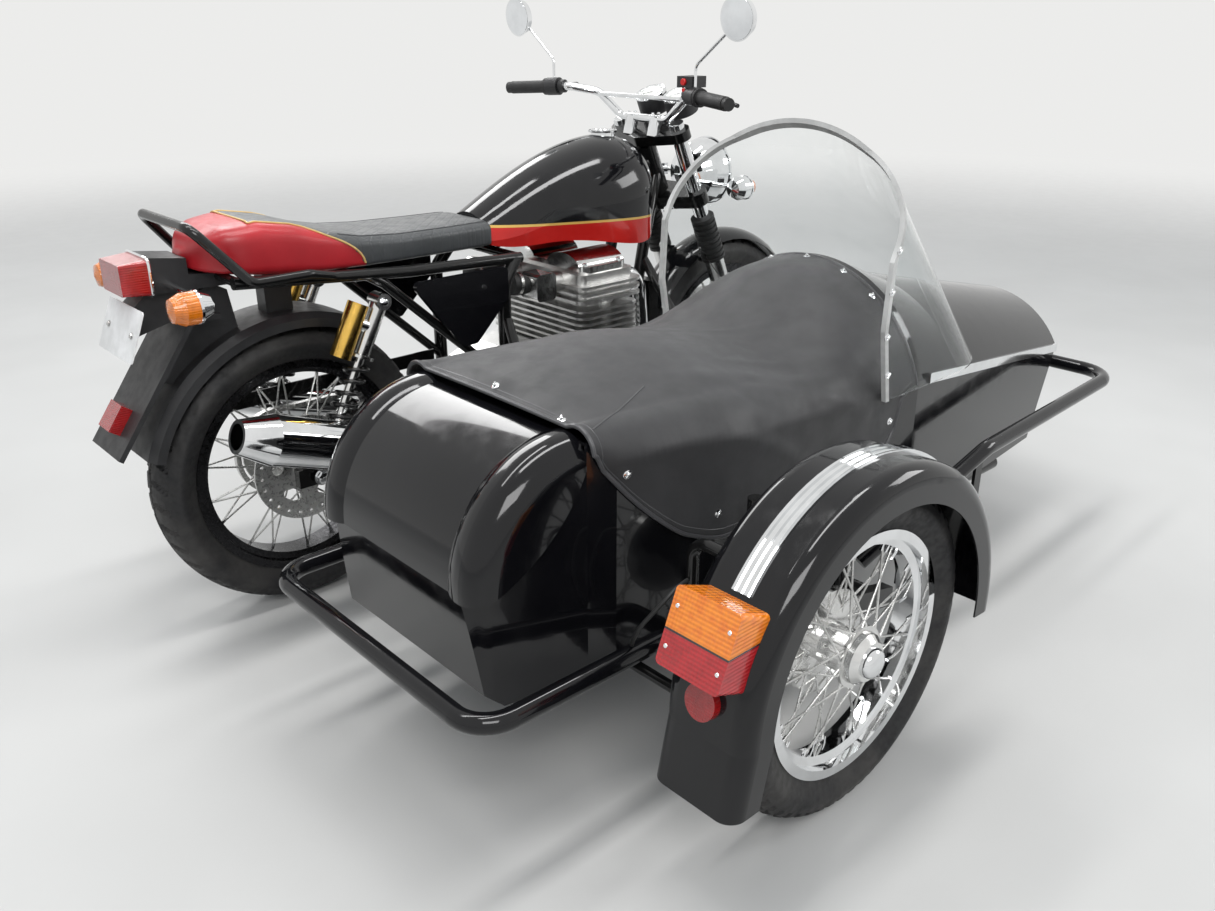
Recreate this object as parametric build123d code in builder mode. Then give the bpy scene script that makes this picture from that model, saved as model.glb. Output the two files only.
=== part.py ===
from build123d import *
import math
import os

os.makedirs("parts", exist_ok=True)

# Sidecar motorcycle, millimetres, +X forward, +Y left, +Z up.
# Every piece is drawn from a datum on the ground under the rear axle, on the motorcycle's centre plane.
# The export moves it so that the origin is under the middle of the outfit.
SHIFT_X = -694
SHIFT_Y = 451

# Motorcycle layout
WHEELBASE = 1398
RAKE = 24
TRAIL = 106
REAR_TYRE_RADIUS = 319.5
REAR_TYRE_WIDTH = 130
FRONT_TYRE_RADIUS = 318.5
FRONT_TYRE_WIDTH = 100
BIKE_BEAD_RADIUS = 228.6
BIKE_FLANGE_RADIUS = 242.5
REAR_RIM_WIDTH = 96
FRONT_RIM_WIDTH = 72
SPOKE = 4.2

# Sidecar layout
CAR_Y = -745
CAR_WHEEL_X = 314
CAR_WHEEL_Y = -1270
CAR_TYRE_RADIUS = 293
CAR_TYRE_WIDTH = 90
CAR_BEAD_RADIUS = 203.2
CAR_FLANGE_RADIUS = 217
CAR_RIM_WIDTH = 66

# Clearances
SEAT_GAP = 0.05
BEAD_GAP = 0.3
SPIN_GAP = 6

FRAME_TUBE = 32
CAR_TUBE = 35


def rod(start, end, diameter, mode=Mode.ADD):
    """A straight round bar between two points."""
    axis = Vector(*end) - Vector(*start)
    with BuildSketch(Plane(origin=start, z_dir=axis)) as disc:
        Circle(diameter / 2)
    return extrude(disc.sketch, amount=axis.length, mode=mode)


def tube(points, bend, diameter, mode=Mode.ADD):
    """A bent round bar through corner points."""
    with BuildLine() as run:
        FilletPolyline(*points, radius=bend)
    with BuildSketch(Plane(origin=run.wire() @ 0, z_dir=run.wire() % 0)) as disc:
        Circle(diameter / 2)
    return sweep(disc.sketch, path=run.wire(), mode=mode)


def slab(points, y, thickness, mode=Mode.ADD):
    """A flat piece from a side outline of (x, z) corners, its middle at y."""
    with BuildSketch(Plane(origin=(0, y, 0), x_dir=(1, 0, 0), z_dir=(0, -1, 0))) as outline:
        with BuildLine():
            Polyline(*points, close=True)
        make_face()
    return extrude(outline.sketch, amount=thickness / 2, both=True, mode=mode)


def mirrored(points):
    """The same corner points on the other side of the motorcycle."""
    return [(x, -y, z) for x, y, z in points]


def across(x, y, z, turn=0):
    """A plane that holds a wheel's axle: sketch X along it, sketch Y away from it, turned forward from upright."""
    lean = math.radians(turn)
    return Plane(origin=(x, y, z), x_dir=(0, 1, 0), z_dir=(math.cos(lean), 0, -math.sin(lean)))


def tyre(x, y, radius, width, bead_radius, rim_width):
    """A tyre, its beads standing against the rim's flanges."""
    half = rim_width / 2 - 3
    height = radius - bead_radius
    with BuildSketch(across(x, y, radius)) as ring:
        with BuildLine():
            base = Line((-half, bead_radius + BEAD_GAP), (half, bead_radius + BEAD_GAP))
            lip = Line((half, bead_radius + BEAD_GAP), (half, bead_radius + 14))
            wall = ThreePointArc(
                (half, bead_radius + 14),
                (width / 2, bead_radius + 0.55 * height),
                (0.43 * width, radius - 0.2 * height),
            )
            crown = ThreePointArc(
                (0.43 * width, radius - 0.2 * height), (0, radius), (-0.43 * width, radius - 0.2 * height)
            )
            other_wall = ThreePointArc(
                (-0.43 * width, radius - 0.2 * height),
                (-width / 2, bead_radius + 0.55 * height),
                (-half, bead_radius + 14),
            )
            other_lip = Line((-half, bead_radius + 14), (-half, bead_radius + BEAD_GAP))
        make_face()
    revolve(ring.sketch, Axis((x, y, radius), (0, 1, 0)))


def rim(x, y, z, bead_radius, flange_radius, rim_width):
    """A well-base rim with flat flange faces."""
    half = rim_width / 2
    with BuildSketch(across(x, y, z)) as ring:
        with BuildLine():
            Polyline(
                (-half, flange_radius),
                (-half + 3, flange_radius),
                (-half + 3, bead_radius),
                (-half + 16, bead_radius),
                (-half + 22, bead_radius - 14),
                (half - 22, bead_radius - 14),
                (half - 16, bead_radius),
                (half - 3, bead_radius),
                (half - 3, flange_radius),
                (half, flange_radius),
                (half, bead_radius - 3),
                (half - 15, bead_radius - 4),
                (half - 20, bead_radius - 18),
                (-half + 20, bead_radius - 18),
                (-half + 15, bead_radius - 4),
                (-half, bead_radius - 3),
                close=True,
            )
        make_face()
    revolve(ring.sketch, Axis((x, y, z), (0, 1, 0)))


def spokes(x, y, z, hub_radius, flange_y, rim_radius, rim_y, pairs):
    """Crossed wire spokes between a hub flange and the rim's well, for both sides of the wheel."""
    wires = []
    for side, flange in ((1, flange_y[0]), (-1, flange_y[1])):
        for index in range(pairs):
            for lean in (1, -1):
                turn = 360 / pairs * (index + 0.25 * side)
                inner = math.radians(turn + lean * 8)
                outer = math.radians(turn + lean * (8 + 42) - lean * 90 / pairs)
                foot = (x + hub_radius * math.cos(inner), y + flange, z + hub_radius * math.sin(inner))
                tip = (x + rim_radius * math.cos(outer), y + side * rim_y, z + rim_radius * math.sin(outer))
                wires.append(rod(foot, tip, SPOKE, Mode.PRIVATE))
    add(wires)


def barrel(x, y, z, stations):
    """A turned body on a wheel's axle from (distance along the axle, radius) stations."""
    with BuildSketch(across(x, y, z)) as half_section:
        with BuildLine():
            Polyline((stations[0][0], 0), *stations, (stations[-1][0], 0), close=True)
        make_face()
    revolve(half_section.sketch, Axis((x, y, z), (0, 1, 0)))


def bored(x, y, z, radius, low, high):
    """A round hole along a wheel's axle."""
    with BuildSketch(Plane(origin=(x, low, z), z_dir=(0, 1, 0))) as hole:
        Circle(radius)
    extrude(hole.sketch, amount=high - low, mode=Mode.SUBTRACT)


# The rear axle and the three wheels
REAR_Z = REAR_TYRE_RADIUS
FRONT_Z = FRONT_TYRE_RADIUS
CAR_Z = CAR_TYRE_RADIUS
AXLE = 20
AXLE_HOLE = AXLE / 2 + SEAT_GAP
HUB_HALF = 62
CAR_HUB_HALF = 55
SPROCKET_RADIUS = 86
SPROCKET_Y = 76
DRIVE_HUB_HALF = 84

with BuildPart() as rear_wheel:
    rim(0, 0, REAR_Z, BIKE_BEAD_RADIUS, BIKE_FLANGE_RADIUS, REAR_RIM_WIDTH)
    barrel(
        0, 0, REAR_Z,
        [(-HUB_HALF, 30), (-50, 30), (-50, 52), (-42, 52), (-36, 34), (36, 34), (42, 60), (SPROCKET_Y, 60), (SPROCKET_Y, 30), (DRIVE_HUB_HALF, 30)],
    )
    spokes(0, 0, REAR_Z, 48, (46, -46), BIKE_BEAD_RADIUS - 16, 12, 9)
    with BuildSketch(Plane(origin=(0, SPROCKET_Y, REAR_Z), z_dir=(0, 1, 0))) as sprocket:
        Circle(SPROCKET_RADIUS)
        Circle(31, mode=Mode.SUBTRACT)
        with PolarLocations(58, 6):
            Circle(13, mode=Mode.SUBTRACT)
    extrude(sprocket.sketch, amount=7)
    bored(0, 0, REAR_Z, AXLE_HOLE, -90, 90)

with BuildPart() as rear_tyre:
    tyre(0, 0, REAR_TYRE_RADIUS, REAR_TYRE_WIDTH, BIKE_BEAD_RADIUS, REAR_RIM_WIDTH)

DISC_THICK = 6
REAR_DISC_RADIUS = 120
FRONT_DISC_RADIUS = 160
with BuildPart() as rear_disc:
    with BuildSketch(Plane(origin=(0, -50 - DISC_THICK, REAR_Z), z_dir=(0, 1, 0))):
        Circle(REAR_DISC_RADIUS)
        Circle(31, mode=Mode.SUBTRACT)
        with PolarLocations(68, 5):
            SlotOverall(44, 26, rotation=90, mode=Mode.SUBTRACT)
        with PolarLocations(106, 24):
            Circle(4, mode=Mode.SUBTRACT)
    extrude(amount=DISC_THICK)

with BuildPart() as front_wheel:
    rim(WHEELBASE, 0, FRONT_Z, BIKE_BEAD_RADIUS, BIKE_FLANGE_RADIUS, FRONT_RIM_WIDTH)
    barrel(
        WHEELBASE, 0, FRONT_Z,
        [(-HUB_HALF, 24), (-42, 24), (-42, 46), (-36, 46), (-30, 28), (30, 28), (36, 60), (52, 60), (52, 24), (HUB_HALF, 24)],
    )
    spokes(WHEELBASE, 0, FRONT_Z, 42, (40, -39), BIKE_BEAD_RADIUS - 16, 10, 9)
    bored(WHEELBASE, 0, FRONT_Z, AXLE_HOLE, -90, 90)

with BuildPart() as front_tyre:
    tyre(WHEELBASE, 0, FRONT_TYRE_RADIUS, FRONT_TYRE_WIDTH, BIKE_BEAD_RADIUS, FRONT_RIM_WIDTH)

with BuildPart() as front_disc:
    with BuildSketch(Plane(origin=(WHEELBASE, 52, FRONT_Z), z_dir=(0, 1, 0))):
        Circle(FRONT_DISC_RADIUS)
        Circle(25, mode=Mode.SUBTRACT)
        with PolarLocations(88, 5):
            SlotOverall(66, 34, rotation=90, mode=Mode.SUBTRACT)
        with PolarLocations(142, 24):
            Circle(4.5, mode=Mode.SUBTRACT)
    extrude(amount=DISC_THICK)

with BuildPart() as sidecar_wheel:
    rim(CAR_WHEEL_X, CAR_WHEEL_Y, CAR_Z, CAR_BEAD_RADIUS, CAR_FLANGE_RADIUS, CAR_RIM_WIDTH)
    barrel(
        CAR_WHEEL_X, CAR_WHEEL_Y, CAR_Z,
        [(-CAR_HUB_HALF, 34), (-44, 44), (-34, 46), (-34, 54), (-28, 54), (-22, 38), (24, 38), (30, 92), (46, 92), (CAR_HUB_HALF, 78)],
    )
    spokes(CAR_WHEEL_X, CAR_WHEEL_Y, CAR_Z, 50, (28, -31), CAR_BEAD_RADIUS - 16, 10, 10)
    bored(CAR_WHEEL_X, CAR_WHEEL_Y, CAR_Z, AXLE_HOLE, CAR_WHEEL_Y - 45, CAR_WHEEL_Y + 90)

with BuildPart() as sidecar_tyre:
    tyre(CAR_WHEEL_X, CAR_WHEEL_Y, CAR_TYRE_RADIUS, CAR_TYRE_WIDTH, CAR_BEAD_RADIUS, CAR_RIM_WIDTH)

# Motorcycle frame
SIN_RAKE = math.sin(math.radians(RAKE))
COS_RAKE = math.cos(math.radians(RAKE))


def steer_x(z):
    """Where the steering axis is at a height."""
    return WHEELBASE + TRAIL - z * SIN_RAKE / COS_RAKE


def steer_point(z, ahead=0, side=0):
    """A point beside the steering axis: ahead of it square to the axis, and to the left."""
    return (steer_x(z) + ahead * COS_RAKE, side, z + ahead * SIN_RAKE)


STEER_UP = (-SIN_RAKE, 0, COS_RAKE)
HEAD_LOW = 800
HEAD_HIGH = 925
HEAD_OUTER = 58
STEM = 30
LIFT_HOLE = 16
HEAD_BORE = STEM / 2 + SEAT_GAP
RAIL_Y = 130
DOWN_Y = 62
PIVOT_X = 500
PIVOT_Z = 375
SHOCK_TOP = (168, 684)
SHOCK_FOOT = (8, 372)
SHOCK_Y = 142
EYE_HALF = 20
SPRING_TOP = 128
SPRING_FOOT = 322
SPRING_WIRE = 9
SPRING_RADIUS = 23.5
UPRIGHT_Y = 140
ARM_Y = 106
ARM_THICK = 22
PIVOT_FACE = 119
STAND_X = 590
STAND_Y = 142
STAND_Z = 208
STAND_PIN = 10

with BuildPart() as main_frame:
    with BuildSketch(Plane(origin=steer_point(HEAD_LOW), z_dir=STEER_UP)):
        Circle(HEAD_OUTER / 2)
    extrude(amount=(HEAD_HIGH - HEAD_LOW) / COS_RAKE)
    tube([steer_point(880), (960, 0, 850), (640, 0, 770), (556, 0, 722)], 60, 44)
    for side in (1, -1):
        tube(
            [
                (steer_x(850), side * 12, 848),
                (1036, side * DOWN_Y, 690),
                (960, side * DOWN_Y, 330),
                (915, side * 110, 208),
                (560, side * 110, 208),
                (PIVOT_X, side * UPRIGHT_Y, 300),
                (PIVOT_X, side * UPRIGHT_Y, 660),
                (545, side * RAIL_Y, 718),
            ],
            50,
            FRAME_TUBE,
        )
        tube([(560, side * RAIL_Y, 718), (250, side * RAIL_Y, 732), (-140, side * RAIL_Y, 768)], 60, 25)
        tube([(PIVOT_X, side * UPRIGHT_Y, 430), (190, side * RAIL_Y, 715), (150, side * RAIL_Y, 740)], 40, 22)
        rod((PIVOT_X, side * PIVOT_FACE, PIVOT_Z), (PIVOT_X, side * (UPRIGHT_Y + 14), PIVOT_Z), 58)
        slab([(915, 325), (915, 365), (968, 365), (958, 325)], side * DOWN_Y, 10)
        slab([(490, 400), (530, 400), (530, 360), (490, 360)], side * (UPRIGHT_Y - 6), 10)
        slab([(505, 402), (505, 348), (425, 312), (425, 348)], side * 142, 9)
    rod((556, -RAIL_Y, 719), (556, RAIL_Y, 719), 21)
    rod((940, -46, 845), (940, 46, 845), 24)
    rod((120, -RAIL_Y, 743), (120, RAIL_Y, 743), 20)
    rod((-130, -RAIL_Y, 768), (-130, RAIL_Y, 768), 20)
    rod((STAND_X, 110, STAND_Z), (STAND_X, STAND_Y + 12, STAND_Z), STAND_PIN)
    rod((560, -110, 208), (560, 110, 208), 25)
    rod((900, -110, 209), (900, 110, 209), 25)
    for side in (1, -1):
        with BuildSketch(Plane(origin=(SHOCK_TOP[0], side * (SHOCK_Y - EYE_HALF), SHOCK_TOP[1] + 24), z_dir=(0, -side, 0))) as lug:
            SlotOverall(88, 30, rotation=90)
        extrude(lug.sketch, amount=8)
        rod((SHOCK_TOP[0], side * (SHOCK_Y - EYE_HALF - 4), SHOCK_TOP[1]), (SHOCK_TOP[0], side * (SHOCK_Y + EYE_HALF), SHOCK_TOP[1]), 12)
    with BuildSketch(Plane(origin=steer_point(HEAD_LOW - 30), z_dir=STEER_UP)):
        Circle(HEAD_BORE)
    extrude(amount=(HEAD_HIGH - HEAD_LOW + 60) / COS_RAKE, mode=Mode.SUBTRACT)

# Engine: one crankcase block, with what shows on it as pieces of their own
CASE_HALF = 150
COVER_OUT = 60
with BuildPart() as engine_block:
    slab(
        [(530, 330), (530, 420), (610, 452), (700, 460), (900, 460), (915, 380), (915, 310), (880, 240), (600, 240)],
        0, 2 * CASE_HALF,
    )

with BuildPart() as engine_side_covers:
    for side in (1, -1):
        with BuildSketch(Plane(origin=(0, side * CASE_HALF, 0), x_dir=(1, 0, 0), z_dir=(0, -1, 0))) as cover:
            with Locations((820, 335)):
                Circle(86)
            with Locations((670, 335)):
                Circle(80)
            with Locations((745, 335)):
                Rectangle(150, 140)
        extrude(cover.sketch, amount=-side * COVER_OUT, taper=8)

CYL_LOW = 460
CYL_HIGH = 580
FIN_HALF = 190
HEAD_TOP = 655
with BuildPart() as cylinders:
    with BuildSketch(Plane.XY.offset(CYL_LOW)):
        with Locations((800, 84), (800, -84)):
            Circle(76)
        with Locations((800, 0)):
            Rectangle(130, 120)
    extrude(amount=CYL_HIGH - CYL_LOW)
    for level in range(7):
        with BuildSketch(Plane.XY.offset(CYL_LOW + 6 + level * 16)) as fin:
            with Locations((800, 0)):
                RectangleRounded(200, 2 * FIN_HALF, 30)
        extrude(fin.sketch, amount=6)

    with BuildSketch(Plane.XY.offset(CYL_HIGH)) as head:
        with Locations((800, 0)):
            RectangleRounded(180, 350, 20)
    extrude(head.sketch, amount=HEAD_TOP - CYL_HIGH)
    for level in range(3):
        with BuildSketch(Plane.XY.offset(CYL_HIGH + 8 + level * 18)) as fin:
            with Locations((800, 0)):
                RectangleRounded(212, 2 * FIN_HALF + 12, 30)
        extrude(fin.sketch, amount=7)
    for side in (1, -1):
        rod((860, side * 84, 615), (920, side * 84, 615), 62)
        rod((740, side * 84, 622), (680, side * 84, 630), 58)

with BuildPart() as rocker_covers:
    with BuildSketch(Plane.XY.offset(HEAD_TOP)):
        with Locations((800, 0)):
            RectangleRounded(150, 340, 30)
    extrude(amount=18)
    for side in (1, -1):
        with BuildSketch(Plane(origin=(725, side * 88, HEAD_TOP + 12), x_dir=(0, 1, 0), z_dir=(1, 0, 0))) as hump:
            Ellipse(62, 32)
        extrude(hump.sketch, amount=150)
    with BuildSketch(Plane.XY.offset(HEAD_TOP - 60)) as under:
        with Locations((800, 0)):
            Rectangle(400, 500)
    extrude(under.sketch, amount=60, mode=Mode.SUBTRACT)

with BuildPart() as throttle_bodies:
    for side in (1, -1):
        rod((679.5, side * 84, 630), (560, side * 84, 645), 54)
        with BuildSketch(Plane(origin=(625, side * 84, 637), z_dir=(0, side, 0))) as cap:
            RectangleRounded(66, 60, 12)
        extrude(cap.sketch, amount=62)

PIPE = 38
SILENCER_Y = 228
SILENCER_TAIL = (-215, 500)
SILENCER_NOSE = (330, 301)
with BuildPart() as exhaust:
    for side in (1, -1):
        tube(
            [
                (920.5, side * 84, 615),
                (990, side * 84, 615),
                (990, side * 118, 300),
                (915, side * 178, 217),
                (450, side * 190, 217),
                (SILENCER_NOSE[0] - 20, side * SILENCER_Y, SILENCER_NOSE[1] + 8),
            ],
            55,
            PIPE,
        )

    dx = SILENCER_TAIL[0] - SILENCER_NOSE[0]
    dz = SILENCER_TAIL[1] - SILENCER_NOSE[1]
    length = math.hypot(dx, dz)
    for side in (1, -1):
        start = (SILENCER_NOSE[0], side * SILENCER_Y, SILENCER_NOSE[1])
        with BuildSketch(Plane(origin=start, x_dir=(dx / length, 0, dz / length), z_dir=(0, -1, 0))) as half_section:
            with BuildLine():
                Polyline(
                    (0, 0), (0, 24), (90, 50), (length - 70, 52), (length, 34), (length, 26), (length - 90, 26), (length - 90, 0),
                    close=True,
                )
            make_face()
        revolve(half_section.sketch, Axis(start, (dx, 0, dz)))
    add(main_frame.part, mode=Mode.SUBTRACT)

with BuildPart() as oil_cooler:
    with BuildSketch(Plane.XY.offset(450)):
        with Locations((1041, 0)):
            Rectangle(34, 190)
    extrude(amount=130)
    for level in range(9):
        with BuildSketch(Plane.XY.offset(458 + level * 13)) as slot:
            with Locations((1058, 0)):
                Rectangle(16, 166)
        extrude(slot.sketch, amount=6, mode=Mode.SUBTRACT)
    add(main_frame.part, mode=Mode.SUBTRACT)

# Fuel tank, saddle and bodywork
def arch(x, half, low, side, top):
    """A cross section with a flat floor, upright sides and a round back."""
    with BuildSketch(Plane(origin=(x, 0, 0), x_dir=(0, 1, 0), z_dir=(1, 0, 0))) as section:
        with BuildLine():
            Line((-half, low), (half, low))
            Line((half, low), (half, side))
            ThreePointArc((half, side), (0, top), (-half, side))
            Line((-half, side), (-half, low))
        make_face()
    return section.sketch


with BuildPart() as fuel_tank:
    loft(
        sections=[
            arch(505, 92, 748, 758, 814),
            arch(640, 120, 738, 778, 882),
            arch(850, 148, 716, 812, 954),
            arch(1000, 122, 712, 800, 946),
            arch(1030, 80, 742, 790, 914),
        ]
    )
    slab([(490, 700), (490, 765), (640, 805), (960, 882), (1060, 902), (1060, 700)], 0, 80, Mode.SUBTRACT)
    add(main_frame.part, mode=Mode.SUBTRACT)

CAP_X = 940
with BuildPart() as fuel_cap:
    with BuildSketch(Plane.XY.offset(930)):
        with Locations((CAP_X, 0)):
            Circle(34)
    extrude(amount=42, taper=6)
    add(fuel_tank.part, mode=Mode.SUBTRACT)

SADDLE_HALF = 118
with BuildPart() as saddle:
    with BuildSketch(Plane.XZ):
        with BuildLine():
            Polyline((500, 744), (150, 749), (-190, 780), (-190, 812))
            ThreePointArc((-190, 812), (-150, 858), (-61, 877))
            Spline((-61, 877), (80, 838), (250, 812), (500, 812))
            Line((500, 812), (500, 744))
        make_face()
    extrude(amount=SADDLE_HALF, both=True)
    add(main_frame.part, mode=Mode.SUBTRACT)

with BuildPart() as side_panels:
    for side in (1, -1):
        with BuildSketch(Plane(origin=(0, side * 160, 0), x_dir=(1, 0, 0), z_dir=(0, -1, 0))) as panel:
            with BuildLine():
                Polyline((235, 712), (494, 712), (494, 640), (400, 548), (360, 548), close=True)
            make_face()
            fillet(panel.vertices(), 12)
        extrude(panel.sketch, amount=7, both=True)
    add(main_frame.part, mode=Mode.SUBTRACT)

with BuildPart() as grab_rail:
    tube(
        [
            (70, -138, 752), (10, -153, 768), (-110, -153, 768), (-205, -122, 880),
            (-205, 122, 880), (-110, 153, 768), (10, 153, 768), (70, 138, 752),
        ],
        30,
        20,
    )
    add(main_frame.part, mode=Mode.SUBTRACT)

PLATE = (-318, 684)
PLATE_LEAN = math.atan2(0.37, 0.93)
PLATE_BOLTS = 120


def plate_back(up):
    """A point of the number plate's back, so far up it from its middle."""
    return (PLATE[0] + up * math.sin(PLATE_LEAN), PLATE[1] + up * math.cos(PLATE_LEAN))


with BuildPart() as rear_mudguard:
    with BuildSketch(across(0, 0, REAR_Z, -72)) as hoop:
        with BuildLine():
            Polyline((-76, 320), (-76, 338), (-60, 350), (60, 350), (76, 338), (76, 320), (73, 320), (73, 336), (58, 346), (-58, 346), (-73, 336), (-73, 320), close=True)
        make_face()
    revolve(hoop.sketch, Axis((0, 0, REAR_Z), (0, 1, 0)), revolution_arc=107)

    slab([(-150, 700), (-205, 706), (-390, 450), (-382, 444), (-200, 694), (-150, 690)], 0, 150)
    slab([(-112, 748), (-262, 752), (-262, 822), (-190, 812), (-190, 781), (-112, 774)], 0, 90)
    slab([(-150, 755), (-112, 735), (-100, 655), (-170, 622), (-240, 562), (-290, 578), (-205, 704)], 0, 60)
    slab([plate_back(-20), plate_back(45), (-262, 760), (-200, 760), (-215, 694)], 0, 60)
    slab([(-30, 660), (30, 660), (30, 730), (150, 730), (150, 748), (-30, 760)], 0, 40)
    add(main_frame.part, mode=Mode.SUBTRACT)
    add(saddle.part, mode=Mode.SUBTRACT)

with BuildPart() as rear_lamps:
    with BuildSketch(Plane(origin=(-262, 0, 786), x_dir=(0, 1, 0), z_dir=(-1, 0, 0))) as lens:
        RectangleRounded(112, 70, 10)
    extrude(lens.sketch, amount=58, taper=5)
    with BuildSketch(Plane(origin=(-349.3, 0, 506.3), x_dir=(0, 1, 0), z_dir=(-256, 0, 185))) as reflector:
        Rectangle(56, 56)
    extrude(reflector.sketch, amount=24)
    add(rear_mudguard.part, mode=Mode.SUBTRACT)

with BuildPart() as rear_indicators:
    for side in (1, -1):
        rod((-230, side * 45, 766), (-230, side * 175, 766), 14)
        with BuildSketch(Plane(origin=(-205, side * 192, 752), x_dir=(-1, 0, 0), z_dir=(0, -1, 0))) as half_section:
            with BuildLine():
                Polyline((0, 0), (10, 20), (34, 31), (62, 31), (82, 22), (88, 0), close=True)
            make_face()
        revolve(half_section.sketch, Axis((-205, side * 192, 752), (-1, 0, 0)))

with BuildPart() as number_plate:
    with BuildSketch(Plane(origin=(PLATE[0], 0, PLATE[1]), x_dir=(0, 1, 0), z_dir=(-0.93, 0, 0.37))):
        RectangleRounded(178, 102, 8)
        with PolarLocations(PLATE_BOLTS / 2, 2):
            Circle(3.2, mode=Mode.SUBTRACT)
    extrude(amount=2)

# Rear suspension and drive
with BuildPart() as swingarm:
    for side in (1, -1):
        slab([(524, 350), (524, 400), (60, 352), (-48, 340), (-48, 300), (60, 300)], side * ARM_Y, ARM_THICK)
        with BuildSketch(Plane(origin=(SHOCK_FOOT[0], side * (SHOCK_Y - EYE_HALF), 350), z_dir=(0, -side, 0))) as lug:
            SlotOverall(84, 34, rotation=90)
        extrude(lug.sketch, amount=16)
        rod((SHOCK_FOOT[0], side * ARM_Y, SHOCK_FOOT[1]), (SHOCK_FOOT[0], side * (SHOCK_Y + EYE_HALF), SHOCK_FOOT[1]), 12)
        inner = DRIVE_HUB_HALF if side == 1 else HUB_HALF
        rod((0, side * (inner + SPIN_GAP), REAR_Z), (0, side * ARM_Y, REAR_Z), 34)
    rod((PIVOT_X, -PIVOT_FACE, PIVOT_Z), (PIVOT_X, PIVOT_FACE, PIVOT_Z), 44)
    rod((0, -ARM_Y - 22, REAR_Z), (0, ARM_Y + 22, REAR_Z), AXLE)
    slab([(-90, 436), (440, 436), (440, 470), (-60, 470), (-110, 430)], 84, 4)
    slab([(250, 360), (270, 360), (270, 450), (250, 450)], 91.75, 6.5)
    slab([(250, 440), (270, 440), (270, 456), (250, 456)], 88.5, 13)

with BuildPart() as shock_bodies:
    fall = (SHOCK_FOOT[0] - SHOCK_TOP[0], SHOCK_FOOT[1] - SHOCK_TOP[1])
    run = math.hypot(*fall)
    along = (fall[0] / run, fall[1] / run)
    for side in (1, -1):
        def at(distance, out=0):
            """A point down the damper from its top eye."""
            return (SHOCK_TOP[0] + along[0] * distance + along[1] * out, side * SHOCK_Y, SHOCK_TOP[1] + along[1] * distance - along[0] * out)

        for eye, size in ((SHOCK_TOP, 36), (SHOCK_FOOT, 32)):
            rod((eye[0], side * (SHOCK_Y - EYE_HALF), eye[1]), (eye[0], side * (SHOCK_Y + EYE_HALF), eye[1]), size)
        rod(at(8), at(120), 38)
        rod(at(100), at(run - 6), 22)
        rod(at(60, 10), at(60, 46), 30)
        rod(at(122), at(SPRING_TOP), 58)
        rod(at(SPRING_FOOT), at(SPRING_FOOT + 5), 58)
        rod(at(20, 46), at(140, 46), 46)
        for eye in (SHOCK_TOP, SHOCK_FOOT):
            low, high = sorted((side * (SHOCK_Y - 30), side * (SHOCK_Y + 30)))
            bored(eye[0], 0, eye[1], 6 + SEAT_GAP, low, high)

with BuildPart() as shock_springs:
    for side in (1, -1):
        low = SPRING_TOP + SPRING_WIRE / 2 + SEAT_GAP
        rise = SPRING_FOOT - SPRING_TOP - SPRING_WIRE - 2 * SEAT_GAP
        foot = (SHOCK_TOP[0] + along[0] * low, side * SHOCK_Y, SHOCK_TOP[1] + along[1] * low)
        with BuildLine() as coil:
            Helix(pitch=rise / 7, height=rise, radius=SPRING_RADIUS, center=foot, direction=(along[0], 0, along[1]))
        with BuildSketch(Plane(origin=coil.line @ 0, z_dir=coil.line % 0)) as wire:
            Circle(SPRING_WIRE / 2)
        sweep(wire.sketch, path=coil.line, is_frenet=True)
    add(shock_bodies.part, mode=Mode.SUBTRACT)

with BuildPart() as drive_chain:
    with BuildSketch(Plane(origin=(0, SPROCKET_Y + 3.5, 0), x_dir=(1, 0, 0), z_dir=(0, -1, 0))) as loop:
        with Locations((0, REAR_Z)):
            Circle(SPROCKET_RADIUS + 17)
        with Locations((590, 350)):
            Circle(58)
        make_hull()
        with BuildSketch(mode=Mode.PRIVATE) as middle:
            with Locations((0, REAR_Z)):
                Circle(SPROCKET_RADIUS + SPIN_GAP)
            with Locations((590, 350)):
                Circle(47)
            make_hull()
        add(middle.sketch_local, mode=Mode.SUBTRACT)
    extrude(loop.sketch, amount=7, both=True)
    add(engine_block.part, mode=Mode.SUBTRACT)

with BuildPart() as rear_brake_caliper:
    slab([(82, 352), (150, 335), (172, 410), (104, 440)], -78, 34)

with BuildPart() as foot_pegs:
    for side in (1, -1):
        rod((440, side * 146.5, 330), (440, side * 270, 330), 28)

# Stand
with BuildPart() as side_stand:
    rod((STAND_X, STAND_Y - 9, STAND_Z), (STAND_X, STAND_Y + 9, STAND_Z), 28)
    rod((STAND_X - 8, STAND_Y, STAND_Z), (STAND_X - 178, STAND_Y, STAND_Z), 17)
    rod((STAND_X - 172, STAND_Y - 9, STAND_Z), (STAND_X - 172, STAND_Y + 9, STAND_Z), 28)
    bored(STAND_X, 0, STAND_Z, STAND_PIN / 2 + SEAT_GAP, STAND_Y - 10, STAND_Y + 10)

# Fork
LEG_AHEAD = FRONT_Z * SIN_RAKE - TRAIL * COS_RAKE
LEG_Y = 105
STANCHION = 41
SLIDER = 54


def leg_point(z, side=0):
    """A point on a fork leg's line at a height."""
    return (WHEELBASE + (FRONT_Z - z) * SIN_RAKE / COS_RAKE, side, z)


with BuildPart() as fork_legs:
    for side in (1, -1):
        rod(leg_point(600, side * LEG_Y), leg_point(985, side * LEG_Y), STANCHION)
        rod(leg_point(285, side * LEG_Y), leg_point(610, side * LEG_Y), SLIDER)
    rod((WHEELBASE, -LEG_Y - 20, FRONT_Z), (WHEELBASE, LEG_Y + 20, FRONT_Z), AXLE)

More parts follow.
